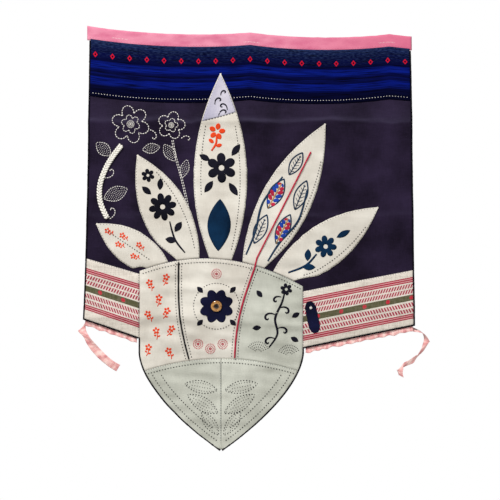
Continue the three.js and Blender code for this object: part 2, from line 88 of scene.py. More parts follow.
# A petal's base is the x of its foot on the rim, and its lean is in degrees from upright.
PETALS = {
    "petal_1": dict(base=-166, lean=-56, length=132, half=25),
    "petal_2": dict(base=-111, lean=-26, length=208, half=36),
    "petal_3": dict(base=-53, lean=0, length=333, half=42),
    "petal_4": dict(base=6, lean=27, length=284, half=39),
    "petal_5": dict(base=60, lean=54, length=210, half=33),
}
PETAL_FOOT = 20
PETAL_TIP = 1.2
ROSETTE_AT = (-60, -492)
BUTTON_MIDDLE = Vector([(low + high) / 2 for low, high in zip(*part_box("button"))])
TAB_AT = (112, -512)
BRAID = ((-256, -334), (-268, -306), (-269, -276), (-259, -246), (-245, -222), (-231, -204))


def mix(a, b, share):
    return a + (b - a) * share


def clamp(value, low=0.0, high=1.0):
    return max(low, min(high, value))


def smooth(value, start, end):
    share = clamp((value - start) / (end - start))
    return share * share * (3 - 2 * share)


def steps(start, end, count, point=lambda value: value):
    """point() of count + 1 even values from start to end."""
    return [point(mix(start, end, i / count)) for i in range(count + 1)]


def waver(*place):
    return noise.noise(Vector(place))


def span_of(x):
    """The two pins on either side of x, and how far x is from one to the other."""
    x = clamp(x, PINS[0][0], PINS[-1][0] - 0.01)
    for left, right in zip(PINS, PINS[1:]):
        if x < right[0]:
            return left, right, (x - left[0]) / (right[0] - left[0])


def heading_top(x):
    left, right, share = span_of(x)
    return mix(left[1], right[1], share) - left[2] * 4 * share * (1 - share)


def band_top(x):
    return heading_top(x) - HEADING_SHOWS


def band_bottom(x):
    return band_top(x) - mix(*BAND_HEIGHT, (x + HALF_WIDTH) / (2 * HALF_WIDTH))


def left_edge(z):
    return -HALF_WIDTH - FLARE[0] * (z / HEM_LEFT[0][1]) ** 2


def right_edge(z):
    return HALF_WIDTH + FLARE[1] * (z / HEM_RIGHT[1][1])


def on_line(line, x):
    (x0, z0), (x1, z1) = line
    return mix(z0, z1, (x - x0) / (x1 - x0))


left_hem = partial(on_line, HEM_LEFT)
right_hem = partial(on_line, HEM_RIGHT)
left_border_top = partial(on_line, BORDER_TOP_LEFT)
right_border_top = partial(on_line, BORDER_TOP_RIGHT)


def half_width_at(z, inset=0.0):
    """Half the width of the cup and its point at a height, or of a line that runs inset inside it."""
    height = TURN_IN_Z - TIP_Z
    share = clamp((TURN_IN_Z - z) / height)
    slope = CUP_HALF_WIDTH * TIP_POWER * share ** (TIP_POWER - 1) / height
    return CUP_HALF_WIDTH * (1 - share**TIP_POWER) - inset * math.hypot(1, slope)


def rim(x):
    share = (x - CUP_CENTRE + CUP_HALF_WIDTH) / (2 * CUP_HALF_WIDTH)
    return mix(RIM[0], RIM[1], share) + RIM[2] * 4 * share * (1 - share)


def chevron(x):
    return mix(*CHEVRON, ((x - CUP_CENTRE) / CUP_HALF_WIDTH) ** 2)


def cup_seam(start, drift, bow, z):
    """The x of a seam down the cup: start at the rim, drift by the chevron, bow between them."""
    share = (RIM[0] - z) / (RIM[0] - CHEVRON[1])
    return start + drift * share - bow * math.sin(math.pi * share)


left_seam = partial(cup_seam, -128, 26, 9)
right_seam = partial(cup_seam, 6, -34, 10)


def on_petal(petal, across, along, grow=0.0):
    """The point at shares across and along a petal, whose foot turns to follow the rim."""
    foot_z = rim(petal["base"]) + 0.5
    lean = math.radians(petal["lean"])
    slope = math.atan2(rim(petal["base"] + 1) - rim(petal["base"] - 1), 2)
    turn = mix(slope, -lean, smooth(along, 0, 0.3))
    half = PETAL_FOOT * (1 - along) ** 2 + petal["half"] * 4 * along * (1 - along)
    half = max(half, PETAL_TIP) + grow
    reach = petal["length"] * along
    out = (across - 0.5) * 2 * half
    x = petal["base"] + reach * math.sin(lean) + out * math.cos(turn)
    return x, foot_z + reach * math.cos(lean) + out * math.sin(turn)


def spot(name, across, along):
    return on_petal(PETALS[name], across, along)


# The solids' folds: how far the back of the cloth stands off the wall. A fold is (height, rise,
# half width).
STORAGE_FOLDS = ((-163, 3.2, 52), (-331, 1.6, 52), (-500, 2.2, 60))


def stand_off(x, z):
    """A bow at each sag, a lean outwards, storage folds, two long waves, and curled sides and tip."""
    left, _, share = span_of(x)
    bow = 4.5 * math.sin(math.pi * share) ** 2 if left[2] else 0
    off = bow * math.exp(-max(0, -z) / 170)
    off += 4 * smooth(-z, 0, 220)
    for at, rise, half in STORAGE_FOLDS:
        off += rise * math.cos(math.pi / 2 * min(1, abs(z - at) / half)) ** 2
    off += 3.5 * smooth(-z, 150, 560) * (1 + math.cos(2 * math.pi * x / 390 + 0.9))
    off += 4 * smooth(abs(x), 215, 300) * smooth(-z, 0, 120)
    return off + 7 * smooth(-z, -TURN_IN_Z, -TIP_Z)


# Finer creases on top of those folds. A ridge is sharp: (height, rise, half width, slope). The pleat
# runs down from the middle pin.
RIDGES = (
    (-161, 2.8, 9, 0.012),
    (-331, 1.2, 8, -0.01),
    (-505, 3.4, 13, 0.03),
    (-523, 2.0, 9, -0.05),
    (-606, 1.6, 10, 0.06),
    (-66, 0.6, 7, -0.02),
)
PLEAT_X = -4


def ridge_height(x, at, slope):
    return at + slope * x + 2.5 * waver(x / 70, at, 0)


def wrinkle(x, z):
    """Soft wrinkles, deepest on the thin cream and grey cloth of the cup."""
    inside = smooth(CUP_HALF_WIDTH + 8 - abs(x - CUP_CENTRE), 0, 16)
    long_fold = waver(x / 46 + z / 60, z / 18, 8.2)
    short_fold = waver(x / 13, z / 24, 2.4)
    return mix(1.4, 3.6, inside * smooth(-z, 380, 440)) * (long_fold + 0.3 * short_fold)


def crease(x, z):
    off = 0.0
    for at, rise, half, slope in RIDGES:
        away = abs(z - ridge_height(x, at, slope))
        strength = 0.65 + 0.5 * waver(x / 90, at, 3)
        off += rise * strength * math.exp(-away / half)
    pleat = smooth(-z, 10, 40) * (1 - smooth(-z, 110, 190))
    off += 1.1 * math.exp(-abs(x - PLEAT_X) / 5) * pleat
    off += 1.1 * waver(x / 120, z / 85, 5.1)
    # The cloth is pulled flat under the button.
    calm = mix(0.35, 1, smooth(math.dist((x, z), ROSETTE_AT), 6, 40))
    return smooth(-z, 0, 60) * calm * (off + wrinkle(x, z) + 1.8)


def folds(x, z):
    return stand_off(x, z) + crease(x, z)


def climb(x, z):
    edge = band_bottom(x)
    return PITCH * smooth(z, edge - CLIMB[0], edge - CLIMB[1])


def front(layer, x, z, proud=0.0, lifts=False):
    """A point of the view, put on the front of a layer of cloth, in metres. A layer that lifts
    climbs over the edge of the indigo band."""
    off = folds(x, z) + layer * PITCH + CLOTH + proud
    if lifts:
        off += climb(x, z)
    return Vector((x * MM, -off * MM, z * MM))


# Lines in the view.
def polar(centre, reach, turn):
    """The point at a distance from another, turn degrees clockwise from upright."""
    way = math.radians(turn)
    return centre[0] + reach * math.sin(way), centre[1] + reach * math.cos(way)


def ring(centre, radius, count=40):
    return steps(0, 360, count, lambda turn: polar(centre, radius, turn))


def lobed(centre, radius, lobes, notch, turn=0.0):
    """The outline of a flower with rounded lobes."""

    def point(angle):
        lobe = abs(math.sin(math.radians(lobes / 2 * angle))) ** 0.7
        return polar(centre, radius * (1 - notch * (1 - lobe)), angle + turn)

    return steps(0, 360, lobes * 12, point)


def in_leaf(foot, turn, length, half, side, share, point=0.85):
    """A point of a leaf: side from -1 to 1 across it, share along it. point 0.5 makes it an oval."""
    out = side * half * math.sin(math.pi * clamp(share)) ** point
    return polar(polar(foot, length * share, turn), out, turn + 90)


def leaf_line(foot, turn, length, half):
    left = steps(0, 1, 14, lambda share: in_leaf(foot, turn, length, half, -1, share))
    return left + steps(1, 0, 14, lambda share: in_leaf(foot, turn, length, half, 1, share))


def curl(start, turn, length, winds):
    """A tendril that leaves at turn degrees from upright and winds into a spiral."""
    made, count = [start], 36
    for i in range(count):
        share = i / count
        turn += 360 * winds / count * (0.35 + 1.3 * share)
        made.append(polar(made[-1], length / count * (1 - 0.82 * share), turn))
    return made


def direction(line, i):
    ahead, behind = line[min(i + 1, len(line) - 1)], line[max(i - 1, 0)]
    return Vector((ahead[0] - behind[0], ahead[1] - behind[1])).normalized()


def beside(line, reach):
    """A line set off to the left of another; reach is a distance, or gives one for each point."""
    made = []
    for i, (x, z) in enumerate(line):
        way = direction(line, i)
        out = reach(i) if callable(reach) else reach
        made.append((x - way.y * out, z + way.x * out))
    return made


def at_distance(line, distance):
    """The point at a distance along a line from its start."""
    for a, b in zip(line, line[1:]):
        length = math.dist(a, b)
        if distance <= length or b is line[-1]:
            share = distance / length if length else 0
            return mix(a[0], b[0], share), mix(a[1], b[1], share)
        distance -= length


def length_of(line):
    return sum(math.dist(a, b) for a, b in zip(line, line[1:]))


def between(values, share):
    """A point on the smooth curve (Catmull-Rom) through a list of vectors."""
    ends = [values[0], *values, values[-1]]
    place = share * (len(values) - 1)
    at = min(int(place), len(values) - 2)
    t = place - at
    a, b, c, d = ends[at : at + 4]
    bend = (2 * a - 5 * b + 4 * c - d) * t**2 + (3 * b - a - 3 * c + d) * t**3
    return 0.5 * (2 * b + (c - a) * t + bend)


def curve(points, count):
    values = [Vector(point) for point in points]
    return steps(0, 1, count, lambda share: tuple(between(values, share)))


def seam_line(seam, clear):
    """A seam down the cup, from just above the chevron to clear below the rim."""
    low, high = chevron(seam(CHEVRON[1])) + 2, rim(seam(RIM[0])) - clear
    return steps(low, high, 60, lambda z: (seam(z), z))


# Materials. Colours are sRGB hex values, and pattern sizes are real ones in millimetres.
def linear(code):
    def channel(value):
        return value / 12.92 if value <= 0.04045 else ((value + 0.055) / 1.055) ** 2.4

    return (*[channel(int(code[i : i + 2], 16) / 255) for i in (1, 3, 5)], 1)


def node(tree, kind, *values, named=None, out=0, **settings):
    """Add a shader node and give back its output out. settings are its own properties, values its
    inputs in order (None leaves one alone) and named those by name or number. A value is a constant
    or another node's output."""
    made = tree.nodes.new("ShaderNode" + kind)
    for key, value in settings.items():
        setattr(made, key, value)
    for key, value in {**dict(enumerate(values)), **(named or {})}.items():
        if isinstance(value, bpy.types.NodeSocket):
            tree.links.new(value, made.inputs[key])
        elif value is not None:
            made.inputs[key].default_value = value
    return made.outputs[out] if made.outputs else None


def new_material(name):
    material = bpy.data.materials.new(name)
    material.use_nodes = True
    material.node_tree.nodes.clear()
    return material, material.node_tree


def close_material(material, colour, height, depth, **constants):
    """Close a material with its colour, its relief of depth millimetres, and the shader's constants,
    whose names have _ for a space."""
    tree = material.node_tree
    relief = node(tree, "Bump", named={"Height": height, "Distance": depth * MM})
    named = {key.replace("_", " "): value for key, value in constants.items()}
    shader = node(tree, "BsdfPrincipled", named={"Base Color": colour, "Normal": relief, **named})
    node(tree, "OutputMaterial", shader)
    return material


def shades(ramp, *stops, length=1.0, sharp=False):
    """Give a ramp its (place, colour) stops, where length is the place of its end."""
    colours = ramp.node.color_ramp
    colours.interpolation = "CONSTANT" if sharp else "LINEAR"
    while len(colours.elements) > 1:
        colours.elements.remove(colours.elements[1])
    colours.elements[0].position = stops[0][0] / length
    colours.elements[0].color = linear(stops[0][1])
    for place, code in stops[1:]:
        colours.elements.new(place / length).color = linear(code)
    return ramp


def streaks(tree, sizes, source="Object", detail=2):
    """Soft noise stretched to sizes, in millimetres along each axis. A UV map is in millimetres."""
    where = node(tree, "TexCoord", out=source)
    unit = 1 if source == "UV" else MM
    where = node(tree, "Mapping", where, None, None, [1 / (size * unit) for size in sizes])
    return node(tree, "TexNoise", where, None, 1, detail)


def on_uv(tree):
    """The two numbers of the piece's own UV map."""
    where = node(tree, "TexCoord", out="UV")
    return [node(tree, "SeparateXYZ", where, out=axis) for axis in "XY"]


def from_nearest(tree, along, first, pitch):
    """How far a place is along from the nearest of a row of marks, pitch apart from the first."""
    from_first = node(tree, "Math", along, first, operation="SUBTRACT")
    return node(tree, "Math", from_first, pitch / 2, operation="PINGPONG")


def weave(tree, pitch, slub):
    """Warp and weft as soft streaks, pitch across a thread and slub along it, from about 0 to 2."""
    warp = streaks(tree, (pitch, pitch, slub))
    return node(tree, "Math", warp, streaks(tree, (slub, pitch, pitch)), operation="ADD")


# How pale the ground is drawn along its storage creases, partly from wear and partly as painted
# highlight, from black for not at all to white: (millimetres below the top, grey).
CREASE_WEAR_AND_HIGHLIGHT = (
    (0, "#000000"),
    (118, "#000000"),
    (162, "#5A5A5A"),
    (169, "#B4B4B4"),
    (173, "#000000"),
    (328, "#000000"),
    (339, "#5A5A5A"),
    (343, "#000000"),
)
CREASE_MARKS_TO = 550


def cloth_finish(name, light, dark, *, pitch=1.9, slub=12, depth=0.2, rough=0.9, blotch=0.72,
                 crease_wear_and_highlight=None):
    """Plain-weave cotton. Threads of 0.4 mm would not show, so they are drawn about 2 mm apart. Its
    fibres scatter light, so it has little gloss and dark dyes stay dark. Along the creases that it
    was stored in, a dark cloth is drawn paler in the colour given: partly wear, and partly painted
    highlight along each crease."""
    material, tree = new_material(name)
    threads = weave(tree, pitch, slub)
    cloud = node(tree, "Math", streaks(tree, (70, 70, 70), detail=3), blotch, operation="MULTIPLY")
    tone = node(tree, "Math", threads, (1 - blotch) / 2, cloud, operation="MULTIPLY_ADD")
    colour = shades(node(tree, "ValToRGB", tone), (0.36, dark), (0.64, light))
    if crease_wear_and_highlight:
        # Pale lines along the storage creases: partly wear, and partly painted highlight along each
        # crease.
        place = node(tree, "TexCoord", out="Object")
        height = node(tree, "SeparateXYZ", place, out="Z")
        wander = node(tree, "Math", streaks(tree, (90, 90, 90)), 0.02, operation="MULTIPLY")
        down = node(tree, "Math", wander, height, operation="SUBTRACT")
        ramp = node(tree, "ValToRGB", node(tree, "Math", down, CREASE_MARKS_TO * MM, operation="DIVIDE"))
        crossing = node(tree, "Math", shades(ramp, *CREASE_WEAR_AND_HIGHLIGHT, length=CREASE_MARKS_TO), streaks(tree, (50, 50, 9)),
                        operation="MULTIPLY")
        colour = node(tree, "Mix", crossing, named={6: colour, 7: linear(crease_wear_and_highlight)}, out=2, data_type="RGBA")
    return close_material(material, colour, threads, depth, Roughness=rough, Specular_IOR_Level=0.08)


def thread_finish(name, light, dark):
    """Stranded cotton thread: a soft twist, with painted shade between its strands. They are 0.4 mm
    apart, and drawn 1.6 mm apart to show."""
    material, tree = new_material(name)
    twist = streaks(tree, (1.6, 1.6, 1.6), detail=1)
    # Its darker blotches are painted shade between the strands.
    colour = shades(node(tree, "ValToRGB", twist), (0.35, dark), (0.6, light))
    return close_material(material, colour, twist, 0.3, Roughness=0.75, Specular_IOR_Level=0.15)


def cord_finish(name, light, dark, twist):
    """Twisted or plaited cotton cord, with painted shade between its strands. Its UV map gives
    millimetres along it and strands round it, and twist is how far along each strand takes the place of
    the next."""
    material, tree = new_material(name)
    along, round_it = on_uv(tree)
    turns = node(tree, "Math", along, 1 / twist, round_it, operation="MULTIPLY_ADD")
    strand = node(tree, "Math", turns, 0.5, operation="PINGPONG")
    # The darker colour at the sides of each strand is painted shade where the strands meet.
    colour = shades(node(tree, "ValToRGB", strand), (0, dark), (0.3, light))
    return close_material(material, colour, strand, 0.5, Roughness=0.95, Specular_IOR_Level=0.04)


def tape_finish():
    """Cotton twill tape, dyed rose and deeper at the right. Its 1 mm diagonal wales are drawn 2.2 mm
    apart to show."""
    material, tree = new_material("rose_twill_tape")
    along, up = on_uv(tree)
    diagonal = node(tree, "Math", along, up, operation="ADD")
    wale = node(tree, "Math", diagonal, 1.1, operation="PINGPONG")
    cloud = streaks(tree, (38, 38, 16), detail=3)
    tone = node(tree, "Math", wale, 0.16, cloud, operation="MULTIPLY_ADD")
    colour = shades(node(tree, "ValToRGB", tone), (0.36, "#C86685"), (0.74, "#DE8CA3"))
    to_right = node(tree, "MapRange", along, 330, 600)
    deeper = node(tree, "Math", to_right, cloud, operation="MULTIPLY")
    colour = node(tree, "Mix", deeper, named={6: colour, 7: linear("#D65479")}, out=2, data_type="RGBA")
    return close_material(material, colour, tone, 0.35, Roughness=0.85, Specular_IOR_Level=0.1)


# The indigo band's stripes are (millimetres below its top edge, colour), with a row of diamonds whose
# half is (across, up).
INDIGO_STRIPES = (
    (0, "#1C2748"),
    (9, "#0B1740"),
    (14, "#040A32"),
    (22, "#020636"),
    (36, "#02042E"),
    (39, "#051468"),
    (47, "#061A78"),
    (52, "#030A4A"),
    (56, "#02052C"),
    (59, "#050E50"),
    (63, "#020634"),
    (66, "#051672"),
    (76, "#051464"),
    (80, "#02042A"),
    (104, "#030318"),
)
DIAMOND_ROW = 26
DIAMOND_FIRST = 9
DIAMOND_PITCH = 31
DIAMOND_HALF = (4.2, 5.4)


def indigo_finish():
    """Handwoven ribbed cotton in indigo: fuzzy ribs along it, two brighter blue stripes, and a row of
    small woven diamonds, crimson with a dark heart. Its 0.8 mm ribs are drawn 1.7 mm apart to show."""
    material, tree = new_material("handwoven_indigo")
    along, down = on_uv(tree)
    rib = streaks(tree, (48, 1.7, 1), "UV")
    fuzz = streaks(tree, (7, 1.6, 1), "UV")
    wander = node(tree, "Math", rib, 2.4, down, operation="MULTIPLY_ADD")
    share = node(tree, "Math", wander, INDIGO_STRIPES[-1][0] + 1.2, operation="DIVIDE")
    stripes = shades(node(tree, "ValToRGB", share), *INDIGO_STRIPES, length=INDIGO_STRIPES[-1][0])
    dark = node(tree, "MapRange", rib, 0.55, 0.3)
    colour = node(tree, "Mix", dark, named={6: stripes, 7: linear("#00000E")}, out=2, data_type="RGBA")
    near_top = node(tree, "MapRange", down, 34, 8, 0, 0.55)
    lint = node(tree, "Math", near_top, node(tree, "MapRange", fuzz, 0.45, 0.7), operation="MULTIPLY")
    colour = node(tree, "Mix", lint, named={6: colour, 7: linear("#34446C")}, out=2, data_type="RGBA")
    over = from_nearest(tree, along, DIAMOND_FIRST, DIAMOND_PITCH)
    off_row = node(tree, "Math", down, DIAMOND_ROW, operation="SUBTRACT")
    up = node(tree, "Math", off_row, operation="ABSOLUTE")
    share_over = node(tree, "Math", over, 1 / DIAMOND_HALF[0], operation="MULTIPLY")
    reach = node(tree, "Math", up, 1 / DIAMOND_HALF[1], share_over, operation="MULTIPLY_ADD")
    inside = node(tree, "Math", reach, 1, operation="LESS_THAN")
    diamond = shades(node(tree, "ValToRGB", reach), (0, "#16041C"), (0.46, "#BC122C"), sharp=True)
    colour = node(tree, "Mix", inside, named={6: colour, 7: diamond}, out=2, data_type="RGBA")
    return close_material(material, colour, rib, 0.5, Roughness=0.9, Specular_IOR_Level=0.04)


# The woven border, in millimetres below its upper edge: the starts of the two groups of crimson
# lines, the first and last millimetre of each row of ticks, and those of the olive stripe.
BORDER_DEPTH = 110
LINE_GROUPS = (14.3, 81.0)
LINE_PITCH = 3.6
LINE_WIDTH = 2.3
TICK_ROWS = ((26.4, 33.8), (36.2, 43.6), (60.4, 68.0), (71.0, 78.4))
OLIVE = (46.2, 57.0)
TICK_PITCH = 4.9
TICK_HALF = 0.28 * TICK_PITCH
TICK_LEAN = 0.45
DOT_FIRST = 27
DOT_PITCH = 42
DOT_RADIUS = 3.7


def border_finish():
    """Ecru cotton with a supplementary crimson weft, in lines and in rows of slanted ticks, and an
    olive stripe with round red dots. Picks of 0.6 mm are drawn as lines 2.5 mm apart."""
    material, tree = new_material("woven_border_cotton")
    along, down = on_uv(tree)
    ecru, tinted, crimson, rose, olive = "#E2D9CD", "#E6D0C9", "#A61E3E", "#DDA4A4", "#55543A"
    stops = [(0, ecru)]
    for group in LINE_GROUPS:
        for i, gap in enumerate((rose, rose, ecru)):
            start = group + i * LINE_PITCH
            stops += [(start, crimson), (start + LINE_WIDTH, gap)]
    for low, high in TICK_ROWS:
        stops += [(low, tinted), (high, ecru)]
    stops += [(OLIVE[0], olive), (OLIVE[1], ecru)]
    share = node(tree, "Math", down, BORDER_DEPTH, operation="DIVIDE")
    colour = shades(node(tree, "ValToRGB", share), *sorted(stops), length=BORDER_DEPTH, sharp=True)

    rows = [(0, "#000000")]
    for low, high in TICK_ROWS:
        rows += [(low, "#FFFFFF"), (high, "#000000")]
    in_row = shades(node(tree, "ValToRGB", share), *rows, length=BORDER_DEPTH, sharp=True)
    off_middle = node(tree, "Math", down, sum(OLIVE) / 2, operation="SUBTRACT")
    off_middle = node(tree, "Math", off_middle, operation="ABSOLUTE")
    slant = node(tree, "Math", off_middle, -TICK_LEAN, along, operation="MULTIPLY_ADD")
    from_tick = node(tree, "Math", slant, TICK_PITCH / 2, operation="PINGPONG")
    tick = node(tree, "Math", from_tick, TICK_HALF, operation="LESS_THAN")
    tick = node(tree, "Math", tick, in_row, operation="MULTIPLY")
    colour = node(tree, "Mix", tick, named={6: colour, 7: linear("#A42C46")}, out=2, data_type="RGBA")

    over = from_nearest(tree, along, DOT_FIRST, DOT_PITCH)
    away = node(tree, "Math", node(tree, "Math", over, 2, operation="POWER"),
                node(tree, "Math", off_middle, 2, operation="POWER"), operation="ADD")
    dot = node(tree, "Math", away, DOT_RADIUS**2, operation="LESS_THAN")
    colour = node(tree, "Mix", dot, named={6: colour, 7: linear("#BE2038")}, out=2, data_type="RGBA")

    threads = weave(tree, 1.9, 20)
    soiled = node(tree, "MapRange", threads, 1.12, 0.75, 0, 0.35)
    colour = node(tree, "Mix", soiled, named={6: colour, 7: linear("#8D8074")}, out=2, data_type="RGBA")
    return close_material(material, colour, threads, 0.3, Roughness=0.92, Specular_IOR_Level=0.08)


def satin_finish():
    """Satin ribbon: its floats lie along it, so its gloss is soft and runs across. Blotches of painted
    shade and painted highlight stand for the lit and shaded facets of its crushes. The floats are 0.1 mm
    wide, and drawn 1.2 mm wide to show."""
    material, tree = new_material("rose_satin_ribbon")
    floats = streaks(tree, (1.2, 30, 1), "UV")
    painted_facet_shading = streaks(tree, (26, 9, 1), "UV")
    tone = node(tree, "Math", floats, 0.3, painted_facet_shading, operation="MULTIPLY_ADD")
    # Blotches of painted shade and painted highlight stand for the lit and shaded facets of the crushed
    # ribbon.
    colour = shades(node(tree, "ValToRGB", tone), (0.5, "#D28385"), (0.65, "#EFB0AC"), (0.8, "#FFDAD2"))
    return close_material(material, colour, floats, 0.12, Roughness=0.4, Sheen_Weight=0.15,
                          Anisotropic=0.5)


def horn_finish():
    """Polished amber horn: warm clouds under a hard gloss, round a dark centre about 8 mm across."""
    material, tree = new_material("polished_horn")
    where = node(tree, "TexCoord", out="Object")
    away = node(tree, "VectorMath", where, BUTTON_MIDDLE, out="Value", operation="DISTANCE")
    cloud = streaks(tree, (5, 5, 5), detail=4)
    colour = shades(node(tree, "ValToRGB", cloud), (0.35, "#7A4A1C"), (0.65, "#CE9A56"))
    dark = node(tree, "MapRange", away, 5.4 * MM, 4.2 * MM)
    colour = node(tree, "Mix", dark, named={6: colour, 7: linear("#1B1008")}, out=2, data_type="RGBA")
    return close_material(material, colour, cloud, 0.02, Roughness=0.16, IOR=1.54, Coat_Weight=0.5)


def floor_finish():
    """Matt studio paint: a plain pale floor with a faint roller texture."""
    material, tree = new_material("pale_studio_floor")
    roller = streaks(tree, (30, 30, 30))
    colour = shades(node(tree, "ValToRGB", roller), (0, "#E9E8E5"), (1, "#F1F0ED"))
    return close_material(material, colour, roller, 0.2, Roughness=0.8)


FINISHES = {
    "tape": tape_finish(),
    "indigo": indigo_finish(),
    # Vat-dyed plain cotton: nearly black and matt, with a purple cast where the dye is thinner. Its
    # pale lines along the storage creases are partly wear and partly painted highlight.
    "ground": cloth_finish("aubergine_cotton", "#2A2037", "#160F1E", crease_wear_and_highlight="#56506A"),
    "stripe": border_finish(),
    # Undyed cotton sateen: its floats give a smooth face with a faint warm sheen.
    "cream": cloth_finish("cream_cotton_sateen", "#E3DED3", "#CDC6BA", depth=0.06, rough=0.7),
    # Piece-dyed calico: a flat, pale green-grey, duller than the sateen beside it.
    "grey": cloth_finish("stone_grey_cotton", "#CDCEC2", "#B4B5A9", depth=0.1),
    # Brushed cotton: its short nap takes up the light, so folds hardly show on it.
    "navy": cloth_finish("navy_cotton", "#17193A", "#090A1E", pitch=1.7, slub=14, depth=0.25),
    # Piping and two couched cords of twisted cotton: matt, with painted shade where two strands meet.
    # The plait is of soft roving with hardly a twist, so the painted shade lies only along the sides of
    # its strands.
    "black": cord_finish("black_cotton_piping", "#131119", "#08070C", 3.2),
    "red": cord_finish("crimson_couched_cord", "#C42444", "#A0183A", 3.4),
    "white": cord_finish("white_cotton_braid", "#F2EEE4", "#7C766C", 2000),
    # Woven satin ribbon, and a polished horn button: their functions say what the eye gets.
    "ribbon": satin_finish(),
    "horn": horn_finish(),
}
# The record's material slot of each finish that isn't one itself.
# Printed cotton, cut out and sewn down: flat colour with a crisp edge. The net is paler.
for key, name, light, dark, slot in (
    ("print_black", "black_sewn_print", "#1E1D2A", "#0D0D17", "navy"),
    ("print_teal", "navy_teal_patch", "#0D3050", "#061C33", "navy"),
    ("print_blue", "slate_blue_print", "#2C425C", "#1B2E44", "navy"),
    ("print_orange", "orange_red_print", "#EC5028", "#D63C18", "red"),
    ("print_red", "crimson_print", "#C4304A", "#9A1E38", "red"),
    ("print_royal", "royal_blue_print", "#2A4CB0", "#1B3688", "indigo"),
    ("print_tan", "tan_print", "#C09458", "#A07A44", "stripe"),
    ("print_lilac", "lilac_grey_net", "#CDC8D2", "#A29FB2", "grey"),
):
    FINISHES[key] = cloth_finish(name, light, dark, pitch=1.6, slub=8, depth=0.15)
# Stranded embroidery cotton: rounded stitches that catch a little light on top.
for key, name, light, dark, slot in (
    ("thread_black", "black_sewing_thread", "#1C1A24", "#0A0910", "black"),
    ("thread_white", "white_embroidery_thread", "#F6F2EC", "#D4CEC6", "white"),
    ("thread_red", "crimson_sewing_thread", "#CC3C50", "#A8283E", "red"),
    ("thread_grey", "slate_sewing_thread", "#6C7286", "#4C5266", "navy"),
    ("thread_rose", "rose_sewing_thread", "#D4607F", "#B24464", "tape"),
):
    FINISHES[key] = thread_finish(name, light, dark)


# Making pieces.
def add_piece(name, bm, finish_name, replaces=()):
    mesh = bpy.data.meshes.new(name)
    bm.to_mesh(mesh)
    bm.free()
    mesh.materials.append(FINISHES[finish_name])
    mesh.shade_smooth()
    piece = bpy.data.objects.new(name, mesh)
    bpy.context.scene.collection.objects.link(piece)
    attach(piece, BODY)
    if replaces:
        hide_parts(*replaces)
    return piece


def thicken(piece, thickness, offset):
    shell = piece.modifiers.new("thickness", "SOLIDIFY")
    shell.thickness = thickness * MM
    shell.offset = offset


def add_grid(bm, cells, place, uv=None):
    """A grid whose corners at shares (u, v) go to place(u, v), in metres, facing the viewer."""
    made = bmesh.ops.create_grid(bm, x_segments=cells[0], y_segments=cells[1], size=0.5)["verts"]
    layer = bm.loops.layers.uv.verify()
    shares = {vert: (vert.co.x + 0.5, vert.co.y + 0.5) for vert in made}
    for face in {face for vert in made for face in vert.link_faces}:
        for loop in face.loops:
            share = shares[loop.vert]
            loop[layer].uv = uv(*share) if uv else share
    for vert, share in shares.items():
        vert.co = place(*share)


# A panel's edge: the distance of its second row of vertices, the width over which it rounds when
# turned under, and how far apart the puckers beside it are.
EDGE_ROW = 2.4
ROUNDED = 2.2
PUCKERS = 5.5
# How much of a cloth's thickness its shell has, so that no shell touches the next.
SHELL = 0.55


def cloth_panel(name, finish_name, place, *, size, cells, replaces, layer=FRONT, lifts=False,
                puff=0.35, turned=True, from_top=None, area=1.0):
    """A thin closed sheet of cloth. place(u, v) gives its point in the view. size is its flat width
    and height. area, its share of that rectangle, is not used. Its edges are turned under, or cut if
    not turned. Its UV map is in millimetres, upwards, or down from from_top at its upper edge."""
    width, height = size

    def spaced(share, length, count):
        """Even rows, but the second and last but one lie close to the edge, to round it."""
        row, gather = round(share * count), EDGE_ROW / length
        if row in (0, count):
            return share
        return mix(gather, 1 - gather, (row - 1) / (count - 2))

    def where(u, v):
        u, v = spaced(u, width, cells[0]), spaced(v, height, cells[1])
        x, z = place(u, v)
        inset = min(u * width, (1 - u) * width, v * height, (1 - v) * height)
        pucker = 0.7 * waver(x / PUCKERS, z / PUCKERS, 6) * math.exp(-inset / 6)
        drop = (1 - clamp(inset / ROUNDED)) ** 2 if turned else 0
        proud = puff * (pucker - math.exp(-inset / 4)) - 0.75 * CLOTH * drop
        return front(layer, x, z, proud, lifts)

    def flat(u, v):
        up = spaced(v, height, cells[1])
        down = height * (1 - up)
        return spaced(u, width, cells[0]) * width, up * height if from_top is None else down + from_top

    bm = bmesh.new()
    add_grid(bm, cells, where, flat)
    piece = add_piece(name, bm, finish_name, replaces)
    thicken(piece, SHELL * CLOTH, -1)


# Where the noise is read for a seed stitch's shift over, its shift up and its slant.
SEED_WAVERS = (0.3, 31.7, 67.1)


